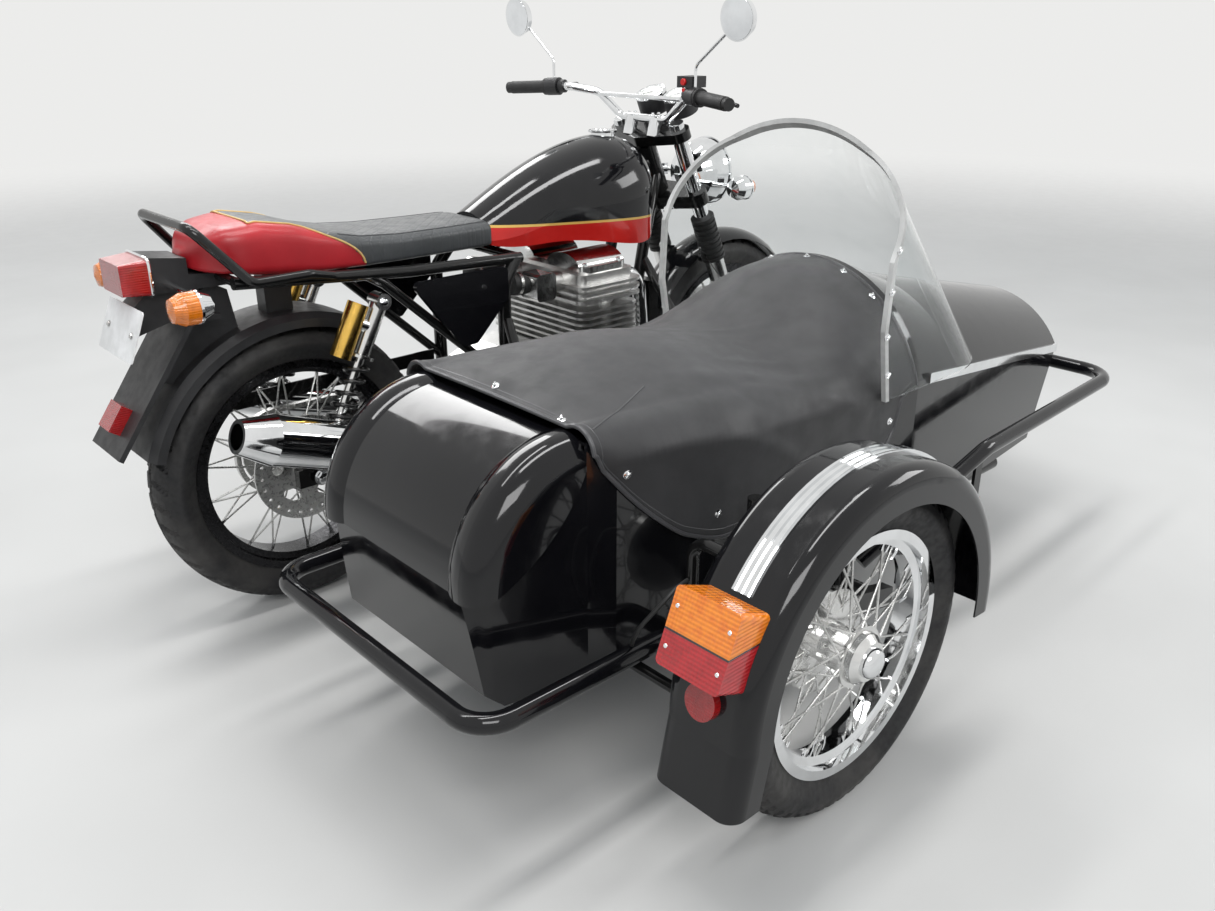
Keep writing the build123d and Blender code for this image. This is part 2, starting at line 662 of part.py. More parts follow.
YOKE_X_DIR = (COS_RAKE, 0, SIN_RAKE)
LAMP_X = WHEELBASE - 158
LAMP_Z = 835
CLOCK_X = WHEELBASE - 214
BAR_X = WHEELBASE - 308
with BuildPart() as fork_yokes:
    for low, thick in ((HEAD_LOW - 42, 36), (HEAD_HIGH + 6, 26)):
        with BuildSketch(Plane(origin=steer_point(low), x_dir=YOKE_X_DIR, z_dir=STEER_UP)) as yoke:
            with Locations((LEG_AHEAD, LEG_Y), (LEG_AHEAD, -LEG_Y)):
                Circle(31)
            Circle(27)
            make_hull()
            with Locations((LEG_AHEAD, LEG_Y), (LEG_AHEAD, -LEG_Y)):
                Circle(STANCHION / 2 + SEAT_GAP, mode=Mode.SUBTRACT)
        extrude(yoke.sketch, amount=thick)
    rod(steer_point(HEAD_LOW - 42), steer_point(HEAD_HIGH + 30), STEM)
    rod(steer_point(HEAD_LOW - 42), steer_point(HEAD_LOW + 58), LIFT_HOLE, Mode.SUBTRACT)

with BuildPart() as fork_gaiters:
    for side in (1, -1):
        for rib in range(9):
            rod(leg_point(612 + rib * 14, side * LEG_Y), leg_point(620 + rib * 14, side * LEG_Y), 66)
        rod(leg_point(612, side * LEG_Y), leg_point(732, side * LEG_Y), 58)
        rod(leg_point(590, side * LEG_Y), leg_point(760, side * LEG_Y), STANCHION + 0.2, Mode.SUBTRACT)

with BuildPart() as front_mudguard:
    with BuildSketch(across(WHEELBASE, 0, FRONT_Z, -60)) as hoop:
        with BuildLine():
            ThreePointArc((-58, 318), (0, 346), (58, 318))
            Line((58, 318), (54, 318))
            ThreePointArc((54, 318), (0, 343), (-54, 318))
            Line((-54, 318), (-58, 318))
        make_face()
    revolve(hoop.sketch, Axis((WHEELBASE, 0, FRONT_Z), (0, 1, 0)), revolution_arc=130)
    for side in (1, -1):
        rod(leg_point(606, side * 56), leg_point(606, side * LEG_Y), 30)
    add(fork_legs.part, mode=Mode.SUBTRACT)
    add(fork_gaiters.part, mode=Mode.SUBTRACT)

with BuildPart() as headlamp:
    with BuildSketch(Plane.XZ):
        with BuildLine():
            bowl = [(0, 0), (5, 35), (18, 62), (40, 80), (80, 90), (100, 90), (112, 55), (116, 0)]
            Polyline(*[(LAMP_X + along, LAMP_Z + radius) for along, radius in bowl], close=True)
        make_face()
    revolve(axis=Axis((LAMP_X, 0, LAMP_Z), (1, 0, 0)))
    rod((LAMP_X + 32, -98, LAMP_Z), (LAMP_X + 32, 98, LAMP_Z), 16)
    for side in (1, -1):
        slab([(LAMP_X - 60, 852), (LAMP_X - 60, 820), (LAMP_X + 40, 820), (LAMP_X + 40, 852)], side * 96, 5)
    for side in (1, -1):
        rod(leg_point(760, side * LEG_Y), leg_point(900, side * LEG_Y), STANCHION + 0.1, Mode.SUBTRACT)

with BuildPart() as clocks:
    for side in (1, -1):
        with BuildSketch(Plane(origin=(CLOCK_X, side * 52, 1004), x_dir=YOKE_X_DIR, z_dir=STEER_UP)) as dial:
            Circle(42)
        extrude(dial.sketch, amount=50)
        rod(steer_point(945, 30, side * 52), (CLOCK_X, side * 52, 1010), 14)
    add(fork_yokes.part, mode=Mode.SUBTRACT)

BAR = 22
BAR_END = (BAR_X - 128, 398, 1056)
BAR_HALF = [BAR_END, (BAR_X - 75, 215, 1066), (BAR_X - 12, 165, 1052), (BAR_X, 85, 992)]
BAR_PATH = BAR_HALF + mirrored(reversed(BAR_HALF))
with BuildPart() as handlebar:
    tube(BAR_PATH, 38, BAR)
    rod((BAR_X - 18, 150, 1047), (BAR_X - 18, -150, 1047), 12)
    for side in (1, -1):
        rod((BAR_X, side * 45, 992), (BAR_X - 12, side * 45, 948), 34)
    add(fork_yokes.part, mode=Mode.SUBTRACT)

BAR_RUN_OUT = [end - bend for end, bend in zip(BAR_PATH[0], BAR_PATH[1])]
BAR_RUN_LENGTH = math.hypot(*BAR_RUN_OUT)


def on_bar(distance, side, lift=0, ahead=0):
    """A point on the straight end of the handlebar, measured inward from its tip."""
    share = distance / BAR_RUN_LENGTH
    x, y, z = (BAR_END[i] - BAR_RUN_OUT[i] * share for i in range(3))
    return (x + ahead, side * y, z + lift)


with BuildPart() as grips:
    for side in (1, -1):
        rod(on_bar(0, side), on_bar(118, side), 33)
        rod(on_bar(112, side), on_bar(120, side), 44)
        rod(on_bar(-1, side), on_bar(130, side), BAR + 0.1, Mode.SUBTRACT)
        rod(on_bar(-14, side), on_bar(-0.5, side), 30)

with BuildPart() as bar_controls:
    for side in (1, -1):
        rod(on_bar(121, side), on_bar(158, side), 46)
        rod(on_bar(160, side), on_bar(176, side), 34)
        rod(on_bar(168, side), on_bar(168, side, 0, 40), 14)
        rod(on_bar(118, side), on_bar(180, side), BAR + 0.1, Mode.SUBTRACT)
    with BuildSketch(Plane(origin=on_bar(168, -1, 18, 8), x_dir=(1, 0, 0), z_dir=(0, 0, 1))):
        Rectangle(54, 46)
    extrude(amount=26)

    for side in (1, -1):
        tube([on_bar(168, side, 0, 46), on_bar(120, side, -4, 62), on_bar(10, side, -8, 50)], 30, 10)
        rod(on_bar(168, side, 0, 40.1), on_bar(168, side, 0, 52), 18)

MIRROR_X = BAR_X - 105
MIRROR_Y = 400
MIRROR_Z = 1238
with BuildPart() as mirrors:
    for side in (1, -1):
        tube([on_bar(140, side, 16, 0), on_bar(140, side, 70, 0), (MIRROR_X + 14, side * MIRROR_Y, MIRROR_Z)], 25, 8)
        with BuildSketch(Plane(origin=(MIRROR_X, side * MIRROR_Y, MIRROR_Z), x_dir=(0, 1, 0), z_dir=(1, 0, 0.1))) as back:
            Circle(50)
        extrude(back.sketch, amount=18, taper=20)
    add(bar_controls.part, mode=Mode.SUBTRACT)
    add(handlebar.part, mode=Mode.SUBTRACT)

with BuildPart() as front_indicators:
    for side in (1, -1):
        foot = (LAMP_X - 18, side * 200, 815)
        rod((LAMP_X + 22, side * 98.5, 815), (LAMP_X + 22, side * 190, 815), 12)
        with BuildSketch(Plane(origin=foot, x_dir=(1, 0, 0), z_dir=(0, -1, 0))) as half_section:
            with BuildLine():
                Polyline((0, 0), (6, 22), (26, 31), (54, 31), (78, 20), (84, 0), close=True)
            make_face()
        revolve(half_section.sketch, Axis(foot, (1, 0, 0)))

with BuildPart() as front_brake_caliper:
    slab([(WHEELBASE - 136, 330), (WHEELBASE - 136, 400), (WHEELBASE - 53, 440), (WHEELBASE - 46, 350)], 80, 28)
    add(fork_legs.part, mode=Mode.SUBTRACT)

# Sidecar body
WALL = 5
TUB_LOW = 235
COWL = [(800, 277, 564, 768), (890, 273, 559.5, 774), (1050, 258, 553.5, 712), (1657, 200, 461, 580)]

# The tail rolls over about one axis: a flat panel between two round shoulders that stand proud of the walls below
TAIL_X = 12
TAIL_Z = 444
TAIL_PANEL = 207
TAIL_RIDGE = 216
TAIL_HALF = 240
TAIL_CREASE = 156


def tub_side(inset):
    """The tub from the side; an inset shrinks it by the wall."""
    with BuildSketch(Plane(origin=(0, CAR_Y, 0), x_dir=(1, 0, 0), z_dir=(0, -1, 0))) as outline:
        with BuildLine():
            Line((-172, TUB_LOW + 30), (-140, TUB_LOW))
            Line((-140, TUB_LOW), (1555, TUB_LOW))
            Line((1555, TUB_LOW), (COWL[-1][0], COWL[-1][2]))
            Polyline(*[(x, low) for x, half, low, top in reversed(COWL)])
            Line((COWL[0][0], COWL[0][2]), (120, 612))
            Line((120, 612), (TAIL_X, 651))
            ThreePointArc(
                (TAIL_X, TAIL_Z + TAIL_PANEL),
                (TAIL_X - TAIL_PANEL * math.sqrt(0.5), TAIL_Z + TAIL_PANEL * math.sqrt(0.5)),
                (TAIL_X - TAIL_PANEL, TAIL_Z),
            )
            Line((TAIL_X - TAIL_PANEL, TAIL_Z), (-172, TUB_LOW + 30))
        make_face()
        if inset:
            offset(amount=-inset, kind=Kind.INTERSECTION)
    return outline.sketch


def tub_plan(inset):
    """The tub from above."""
    with BuildSketch(Plane(origin=(0, CAR_Y, 0), x_dir=(1, 0, 0), z_dir=(0, 0, 1))) as outline:
        with BuildLine():
            Polyline(
                (-205, 199), (TAIL_X, TAIL_HALF), (60, 256), (300, 280), (880, 276), (1670, 200),
                (1670, -200), (880, -276), (300, -280), (60, -256), (TAIL_X, -TAIL_HALF), (-205, -199),
                close=True,
            )
        make_face()
        fillet(outline.vertices().group_by(Axis.X)[0], 60)
        if inset:
            offset(amount=-inset)
    return outline.sketch


def above_shoulder_edge(lift):
    """Everything of the tail above the shoulders' lower edge, in side view."""
    with BuildSketch(Plane(origin=(0, CAR_Y, 0), x_dir=(1, 0, 0), z_dir=(0, -1, 0))) as region:
        with BuildLine():
            Polyline((TAIL_X, 606 + lift), (TAIL_X, 700), (-260, 700), (-260, 438 + lift), (-206, 438 + lift))
            Spline((-206, 438 + lift), (-150, 456 + lift), (-50, 520 + lift), (TAIL_X, 606 + lift))
        make_face()
    return region.sketch


def shoulders(inset):
    """The rolled-over tail, from the shoulders' lower edge up."""
    half = TAIL_HALF - inset
    with BuildSketch(across(TAIL_X, CAR_Y, TAIL_Z, -110)) as section:
        with BuildLine():
            Polyline((-half, TAIL_PANEL - 38 - inset), (-half, 0), (half, 0), (half, TAIL_PANEL - 38 - inset))
            for side in (1, -1):
                ThreePointArc(
                    (side * half, TAIL_PANEL - 38 - inset),
                    (side * (half - 13), TAIL_RIDGE - 14 - inset),
                    (side * (half - 46), TAIL_RIDGE - inset),
                )
                ThreePointArc(
                    (side * (half - 46), TAIL_RIDGE - inset),
                    (side * (TAIL_CREASE + 16), TAIL_RIDGE - 2.5 - inset),
                    (side * TAIL_CREASE, TAIL_PANEL - inset),
                )
            Line((-TAIL_CREASE, TAIL_PANEL - inset), (TAIL_CREASE, TAIL_PANEL - inset))
        make_face()
    revolve(section.sketch, Axis((TAIL_X, CAR_Y, TAIL_Z), (0, 1, 0)), revolution_arc=110)
    extrude(above_shoulder_edge(inset * 1.4), amount=300, both=True, mode=Mode.INTERSECT)


def walls(inset):
    """The tub below the shoulders and forward of the tail."""
    extrude(tub_side(inset), amount=300, both=True)
    extrude(tub_plan(inset), amount=800, mode=Mode.INTERSECT)
    extrude(above_shoulder_edge(inset * 1.4), amount=300, both=True, mode=Mode.SUBTRACT)


with BuildPart() as shoulders_outside:
    shoulders(0)

with BuildPart() as shoulders_inside:
    shoulders(WALL)

with BuildPart() as tub_outside:
    walls(0)
    add(shoulders_outside.part)

with BuildPart() as tub_inside:
    walls(WALL)
    add(shoulders_inside.part)

with BuildPart() as sidecar_floor:
    extrude(tub_plan(WALL), amount=TUB_LOW + WALL)
    add(tub_outside.part, mode=Mode.INTERSECT)

with BuildPart() as sidecar_tub:
    add(tub_outside.part)
    add(tub_inside.part, mode=Mode.SUBTRACT)
    add(sidecar_floor.part, mode=Mode.SUBTRACT)
    with BuildSketch(Plane(origin=(0, CAR_Y, 300), x_dir=(1, 0, 0), z_dir=(0, 0, 1))) as cockpit:
        with Locations((840, 0)):
            Rectangle(1420, 360)
    extrude(cockpit.sketch, amount=500, mode=Mode.SUBTRACT)
    with BuildSketch(Plane(origin=(0, CAR_Y - 150, 0), x_dir=(1, 0, 0), z_dir=(0, -1, 0))) as doorway:
        with BuildLine():
            Polyline((200, 700), (240, 485), (735, 485), (775, 700), close=True)
        make_face()
        fillet(doorway.vertices().group_by(Axis.Y)[0], 50)
    extrude(doorway.sketch, amount=200, mode=Mode.SUBTRACT)

def deck(grow):
    """The arched upper deck as a solid, larger or smaller by a margin; a smaller one stops short of the nose."""
    nose = COWL[-1][0] + min(grow, 0)
    sections = []
    for x, half, low, top in COWL:
        with BuildSketch(Plane(origin=(min(x, nose), CAR_Y, 0), x_dir=(0, 1, 0), z_dir=(1, 0, 0))) as section:
            with BuildLine():
                Line((-half - grow, low), (half + grow, low))
                ThreePointArc((half + grow, low), (0, top + grow), (-half - grow, low))
            make_face()
        sections.append(section.sketch)
    return loft(sections=sections, ruled=True)


with BuildPart() as deck_inside:
    deck(-WALL)

with BuildPart() as deck_clear:
    deck(0.4)

with BuildPart() as deck_outside:
    deck(0)

with BuildPart() as sidecar_bonnet:
    deck(0)
    add(deck_inside.part, mode=Mode.SUBTRACT)

with BuildPart() as chrome_strips:
    extrude(tub_plan(-6), amount=800)
    extrude(tub_plan(0), amount=800, mode=Mode.SUBTRACT)
    slab([(918, 547), (1650, 447), (1650, 467), (918, 569)], CAR_Y, 700, Mode.INTERSECT)

# Tonneau cover: a thin hood over the cockpit, with a deeper flap over the doorway
HOOD = [
    (14, 243, 606, 194, 662, 18, 664), (60, 258, 600, 200, 664, 18, 680), (300, 283.5, 592, 214, 656, 15, 702),
    (560, 282.5, 578, 214, 628, 11, 668), (800, 277.4, 564, 200, 691, 10, 768), (866, 276.6, 560.7, 200, 691, 10, 772.4),
]
HOOD_THICK = 4
HOOD_LOW = 380


def hood(grow):
    """The cover as a solid block down to below its hem: upright sides, round corners and a slightly arched top."""
    sections = []
    for x, half, side, corner_half, corner, bulge, top in HOOD:
        chord = math.hypot(half - corner_half, corner - side)
        out = bulge * (corner - side) / chord
        up = bulge * (half - corner_half) / chord
        middle = ((half + corner_half) / 2 + out + grow, (side + corner) / 2 + up + grow)
        with BuildSketch(Plane(origin=(x, CAR_Y, 0), x_dir=(0, 1, 0), z_dir=(1, 0, 0))) as section:
            with BuildLine():
                Polyline((-half - grow, side), (-half - grow, HOOD_LOW), (half + grow, HOOD_LOW), (half + grow, side))
                ThreePointArc((half + grow, side), middle, (corner_half, corner + grow))
                ThreePointArc((corner_half, corner + grow), (0, top + grow), (-corner_half, corner + grow))
                ThreePointArc((-corner_half, corner + grow), (-middle[0], middle[1]), (-half - grow, side))
            make_face()
        sections.append(section.sketch)
    return loft(sections=sections, ruled=True)


with BuildPart() as hood_inside:
    hood(0)

with BuildPart() as tonneau:
    hood(HOOD_THICK)
    add(hood_inside.part, mode=Mode.SUBTRACT)
    add(tub_outside.part, mode=Mode.SUBTRACT)
    add(deck_outside.part, mode=Mode.SUBTRACT)
    slab(
        [(0, 300), (0, 655), (30, 610), (126, 500), (200, 440), (290, 415), (680, 415), (770, 440), (800, 480), (800, 545), (900, 555), (900, 300)],
        CAR_Y - 200, 400, Mode.SUBTRACT,
    )
    slab([(0, 300), (0, 640), (300, 565), (800, 535), (900, 555), (900, 300)], CAR_Y + 200, 400, Mode.SUBTRACT)

# Windscreen: a bent sheet that leans back over the cowl
SHEET = 4
SCREEN_HALF = 294
SCREEN_LEAN = 0.91
SCREEN_FOOT = 556
SCREEN_REAR = [(742, 556), (714, 700), (720, 830), (764, 925), (799, 1010), (808, 1062)]


def screen_band(inward, outward):
    """The sheet's bend seen from above, as a closed loop, run up along the lean."""
    low = 540
    with BuildSketch(Plane(origin=((720 - low) * SCREEN_LEAN, CAR_Y, low), x_dir=(1, 0, 0), z_dir=(0, 0, 1))) as bend:
        with BuildLine():
            Line((400, -SCREEN_HALF), (860, -SCREEN_HALF))
            ThreePointArc((860, -SCREEN_HALF), (974, -SCREEN_HALF + 39), (1055, -SCREEN_HALF + 129))
            ThreePointArc((1055, -SCREEN_HALF + 129), (1100, 0), (1055, SCREEN_HALF - 129))
            ThreePointArc((1055, SCREEN_HALF - 129), (974, SCREEN_HALF - 39), (860, SCREEN_HALF))
            Line((860, SCREEN_HALF), (400, SCREEN_HALF))
            Line((400, SCREEN_HALF), (400, -SCREEN_HALF))
        make_face()
        offset(amount=outward)
        with BuildSketch(mode=Mode.PRIVATE) as core:
            add(bend.sketch_local)
            offset(amount=-(inward + outward))
        add(core.sketch_local, mode=Mode.SUBTRACT)
    return extrude(bend.sketch, amount=760, dir=(-SCREEN_LEAN, 0, 1))


with BuildPart() as windscreen:
    screen_band(SHEET, 0)
    slab([*SCREEN_REAR, (1500, 1062), (1500, SCREEN_FOOT)], CAR_Y, 700, Mode.INTERSECT)
    add(deck_clear.part, mode=Mode.SUBTRACT)

with BuildPart() as screen_trim:
    screen_band(SHEET + 3, 3)
    slab(
        [*SCREEN_REAR, *[(x - 11, z) for x, z in reversed(SCREEN_REAR)]],
        CAR_Y, 700, Mode.INTERSECT,
    )
    add(deck_clear.part, mode=Mode.SUBTRACT)

# Sidecar chassis
CHASSIS_Z = TUB_LOW - CAR_TUBE / 2
RAIL_IN = CAR_Y + 210
RAIL_OUT = CAR_Y - 210
LOOP_IN = -432
LOOP_OUT = -1058
LOOP_Z = 300
ARM_FACE = -1062
DAMPER_X = 300
STRUT_X = 1056
FRONT_LOOP_Z = 385
BUMPER_TUBE = 34
CROSS_TUBE = 30
with BuildPart() as sidecar_chassis:
    for y in (RAIL_IN, RAIL_OUT):
        rod((-110, y, CHASSIS_Z), (1380, y, CHASSIS_Z), CAR_TUBE)
    for x, low, high in ((40, RAIL_OUT, LOOP_IN), (600, ARM_FACE, LOOP_IN), (860, RAIL_OUT, LOOP_IN), (STRUT_X, -1090, LOOP_IN)):
        rod((x, low, CHASSIS_Z), (x, high, CHASSIS_Z), CROSS_TUBE)
    tube([(DAMPER_X, RAIL_OUT, CHASSIS_Z), (DAMPER_X, -1085, CHASSIS_Z), (DAMPER_X, -1085, 505)], 40, 30)
    slab([(STRUT_X - 13, 215), (STRUT_X + 13, 215), (STRUT_X + 13, 385), (STRUT_X - 13, 385)], -1085, 7)

with BuildPart() as bumper_bars:
    tube(
        [
            (40, LOOP_IN, CHASSIS_Z),
            (-40, LOOP_IN, LOOP_Z),
            (-260, LOOP_IN, LOOP_Z),
            (-260, LOOP_OUT, LOOP_Z),
            (120, LOOP_OUT, LOOP_Z),
            (225, LOOP_OUT, CHASSIS_Z),
            (DAMPER_X, LOOP_OUT, CHASSIS_Z),
        ],
        60,
        BUMPER_TUBE,
    )
    tube(
        [
            (700, -1040, CHASSIS_Z),
            (800, -1080, 300),
            (1060, -1095, FRONT_LOOP_Z),
            (1760, -1060, FRONT_LOOP_Z),
            (1760, -430, FRONT_LOOP_Z),
            (1060, -412, FRONT_LOOP_Z),
            (860, -432, CHASSIS_Z),
        ],
        85,
        BUMPER_TUBE,
    )
    add(sidecar_chassis.part, mode=Mode.SUBTRACT)

CAR_ARM_Y = CAR_WHEEL_Y + 118
with BuildPart() as wheel_arm:
    slab([(630, 200), (630, 240), (300, 318), (286, 300), (290, 268)], CAR_ARM_Y, 24)
    rod((600, ARM_FACE, CHASSIS_Z), (600, CAR_ARM_Y, CHASSIS_Z), 40)
    rod((CAR_WHEEL_X, CAR_ARM_Y, CAR_Z), (CAR_WHEEL_X, CAR_WHEEL_Y - 40, CAR_Z), AXLE)
    rod((CAR_WHEEL_X, CAR_ARM_Y, CAR_Z), (CAR_WHEEL_X, CAR_WHEEL_Y + CAR_HUB_HALF + SPIN_GAP, CAR_Z), 44)
    rod((DAMPER_X, -1104, 300), (DAMPER_X, CAR_ARM_Y, 300), 16)
    rod((DAMPER_X, -1122, 300), (DAMPER_X, -1122, 480), 24)
    rod((DAMPER_X, -1122, 340), (DAMPER_X, -1122, 470), 38)
    rod((DAMPER_X, -1100, 480), (DAMPER_X, -1140, 480), 40)

CROWN_RADIUS = 338
GUARD_HALF = 82
GUARD_SHEET = 3
GUARD_ROUND = 30
GUARD_LIP = CROWN_RADIUS - 62
GUARD_Y = CAR_WHEEL_Y


def guard_outline(inset, low):
    """The guard's section: flat crown, round shoulders and upright sides down to a radius."""
    half = GUARD_HALF - inset
    crown = CROWN_RADIUS - inset
    bend = GUARD_ROUND - inset
    middle = bend * (1 - math.sqrt(0.5))
    Polyline((-half, crown - bend), (-half, low), (half, low), (half, crown - bend))
    ThreePointArc((half, crown - bend), (half - middle, crown - middle), (half - bend, crown))
    Line((half - bend, crown), (-half + bend, crown))
    ThreePointArc((-half + bend, crown), (-half + middle, crown - middle), (-half, crown - bend))


def guard_hoop(turn):
    """The mudguard's section at a turn about the wheel."""
    with BuildSketch(across(CAR_WHEEL_X, GUARD_Y, CAR_Z, turn)) as hoop:
        with BuildLine():
            guard_outline(0, GUARD_LIP)
        make_face()
        with BuildLine():
            guard_outline(GUARD_SHEET, GUARD_LIP - 1)
        make_face(mode=Mode.SUBTRACT)
    return hoop.sketch


with BuildPart() as sidecar_mudguard:
    revolve(guard_hoop(-90), Axis((CAR_WHEEL_X, GUARD_Y, CAR_Z), (0, 1, 0)), revolution_arc=184)
    extrude(guard_hoop(-90), amount=106, dir=(-0.22, 0, -1))

with BuildPart() as guard_strip:
    with BuildSketch(across(CAR_WHEEL_X, GUARD_Y, CAR_Z, -52)) as hoop:
        with Locations((0, CROWN_RADIUS + 1.5)):
            Rectangle(34, 3)
        with Locations((-12, CROWN_RADIUS + 3), (0, CROWN_RADIUS + 3), (12, CROWN_RADIUS + 3)):
            Rectangle(5, 6)
        with Locations((0, CROWN_RADIUS - 4)):
            Rectangle(60, 8, mode=Mode.SUBTRACT)
    revolve(hoop.sketch, Axis((CAR_WHEEL_X, GUARD_Y, CAR_Z), (0, 1, 0)), revolution_arc=102)

with BuildPart() as guard_block:
    with BuildSketch(across(CAR_WHEEL_X, GUARD_Y, CAR_Z)) as block:
        with BuildLine():
            guard_outline(0, 0)
        make_face()
    revolve(block.sketch, Axis((CAR_WHEEL_X, GUARD_Y, CAR_Z), (0, 1, 0)))

GUARD_FACE = GUARD_Y + GUARD_HALF
BRACKET_Y = GUARD_Y + 150
with BuildPart() as guard_brackets:
    for x, reach in ((110, 296), (520, 296)):
        rise = CAR_Z + math.sqrt(reach**2 - (x - CAR_WHEEL_X) ** 2)
        tube([(x, RAIL_OUT, CHASSIS_Z), (x, BRACKET_Y, CHASSIS_Z), (x, BRACKET_Y, rise), (x, GUARD_FACE, rise)], 32, 20)
    add(sidecar_chassis.part, mode=Mode.SUBTRACT)
    add(bumper_bars.part, mode=Mode.SUBTRACT)

with BuildPart() as sidecar_lamps:
    with BuildSketch(Plane(origin=(20, GUARD_Y, 440), x_dir=(0, 1, 0), z_dir=(-0.93, 0, 0.37))) as lens:
        RectangleRounded(118, 118, 8)
    extrude(lens.sketch, amount=66)
    with BuildSketch(Plane(origin=(0, GUARD_Y, 350), x_dir=(0, 1, 0), z_dir=(-0.98, 0, 0.2))) as reflector:
        Circle(28)
    extrude(reflector.sketch, amount=32)
    add(guard_block.part, mode=Mode.SUBTRACT)

with BuildPart() as marker_lamp:
    with BuildSketch(Plane(origin=(600, GUARD_Y, 440), x_dir=(0, 1, 0), z_dir=(0.88, 0, 0.47))):
        RectangleRounded(70, 34, 6)
    extrude(amount=50)
    add(guard_block.part, mode=Mode.SUBTRACT)

STRUT = 25
with BuildPart() as coupling_struts:
    for x in (860, 600):
        tube([(x, LOOP_IN + 30, CHASSIS_Z), (x, -330, 184), (x, -102, 184)], 40, STRUT)
        rod((x, LOOP_IN, CHASSIS_Z), (x, LOOP_IN + 34, CHASSIS_Z), 40)
    tube([(STRUT_X, LOOP_IN, CHASSIS_Z), (STRUT_X, LOOP_IN + 30, CHASSIS_Z + 10), (1028, -64, 640)], 30, STRUT)
    tube([(420, RAIL_IN, CHASSIS_Z), (420, -432, CHASSIS_Z + 5), (500, -150, 580)], 40, STRUT)
    add(main_frame.part, mode=Mode.SUBTRACT)
    add(sidecar_chassis.part, mode=Mode.SUBTRACT)
    add(bumper_bars.part, mode=Mode.SUBTRACT)

with BuildPart() as lamp_wire:
    tube(
        [
            (99.5, BRACKET_Y, 440), (50, BRACKET_Y - 5, 430), (26, LOOP_OUT - 32, 370),
            (40, LOOP_OUT, LOOP_Z + BUMPER_TUBE / 2),
        ],
        20, 7,
    )
    add(sidecar_chassis.part, mode=Mode.SUBTRACT)
    add(bumper_bars.part, mode=Mode.SUBTRACT)

PIECES = {
    "rear_wheel": [rear_wheel], "rear_tyre": [rear_tyre], "rear_disc": [rear_disc],
    "front_wheel": [front_wheel], "front_tyre": [front_tyre], "front_disc": [front_disc],
    "sidecar_wheel": [sidecar_wheel], "sidecar_tyre": [sidecar_tyre],
    "main_frame": [main_frame], "engine_block": [engine_block], "engine_side_covers": [engine_side_covers],
    "cylinders": [cylinders], "rocker_covers": [rocker_covers], "throttle_bodies": [throttle_bodies],
    "exhaust": [exhaust], "oil_cooler": [oil_cooler], "fuel_tank": [fuel_tank], "fuel_cap": [fuel_cap],
    "saddle": [saddle], "side_panels": [side_panels], "grab_rail": [grab_rail],
    "rear_mudguard": [rear_mudguard], "rear_lamps": [rear_lamps], "rear_indicators": [rear_indicators],
    "number_plate": [number_plate], "swingarm": [swingarm], "shock_bodies": [shock_bodies],
    "shock_springs": [shock_springs], "drive_chain": [drive_chain], "rear_brake_caliper": [rear_brake_caliper],
    "foot_pegs": [foot_pegs], "side_stand": [side_stand],
    "fork_legs": [fork_legs], "fork_yokes": [fork_yokes], "fork_gaiters": [fork_gaiters],
    "front_mudguard": [front_mudguard], "headlamp": [headlamp], "clocks": [clocks], "handlebar": [handlebar],
    "grips": [grips], "bar_controls": [bar_controls], "mirrors": [mirrors],
    "front_indicators": [front_indicators], "front_brake_caliper": [front_brake_caliper],
    "sidecar_floor": [sidecar_floor], "sidecar_tub": [sidecar_tub], "sidecar_bonnet": [sidecar_bonnet],
    "chrome_strips": [chrome_strips, guard_strip], "tonneau": [tonneau],
    "windscreen": [windscreen], "screen_trim": [screen_trim],
    "sidecar_chassis": [sidecar_chassis, guard_brackets], "bumper_bars": [bumper_bars], "wheel_arm": [wheel_arm],
    "sidecar_mudguard": [sidecar_mudguard], "sidecar_lamps": [sidecar_lamps], "marker_lamp": [marker_lamp],
    "coupling_struts": [coupling_struts], "lamp_wire": [lamp_wire],
}
for name, blocks in PIECES.items():
    piece = blocks[0].part
    for block in blocks[1:]:
        piece = piece + block.part
    piece.label = name
    export_step(Pos(SHIFT_X, SHIFT_Y, 0) * piece, f"parts/{name}.step")
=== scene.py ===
import math

import bmesh
import bpy
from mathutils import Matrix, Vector


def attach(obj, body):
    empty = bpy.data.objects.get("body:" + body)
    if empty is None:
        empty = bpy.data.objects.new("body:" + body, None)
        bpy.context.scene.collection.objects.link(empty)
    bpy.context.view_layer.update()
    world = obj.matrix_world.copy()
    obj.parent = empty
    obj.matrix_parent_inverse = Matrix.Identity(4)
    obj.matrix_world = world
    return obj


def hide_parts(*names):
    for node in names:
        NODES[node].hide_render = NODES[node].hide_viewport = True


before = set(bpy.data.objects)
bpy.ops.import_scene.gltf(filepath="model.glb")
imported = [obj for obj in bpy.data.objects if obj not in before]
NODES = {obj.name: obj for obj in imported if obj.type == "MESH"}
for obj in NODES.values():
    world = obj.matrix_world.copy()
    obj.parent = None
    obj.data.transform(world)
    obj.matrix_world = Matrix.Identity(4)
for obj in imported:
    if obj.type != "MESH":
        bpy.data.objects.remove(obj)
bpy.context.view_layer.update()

# Places below are in millimetres from the CAD datum, the ground under the rear axle on the motorcycle's
# centre plane, and at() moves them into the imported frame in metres.
SHIFT = Vector((-0.694, 0.451, 0.0))


def at(x, y, z):
    return Vector((x, y, z)) / 1000 + SHIFT


# Driving places, the same as in the CAD source; DAMPER's are (x, z)
REAR_AXLE = (0, 0, 319.5)
FRONT_AXLE = (1398, 0, 318.5)
CAR_AXLE = (314, -1270, 293)
CAR_Y = -745
LAMP = (1240, 0, 835)
DAMPER_TOP, DAMPER_FOOT = (168, 684), (8, 372)

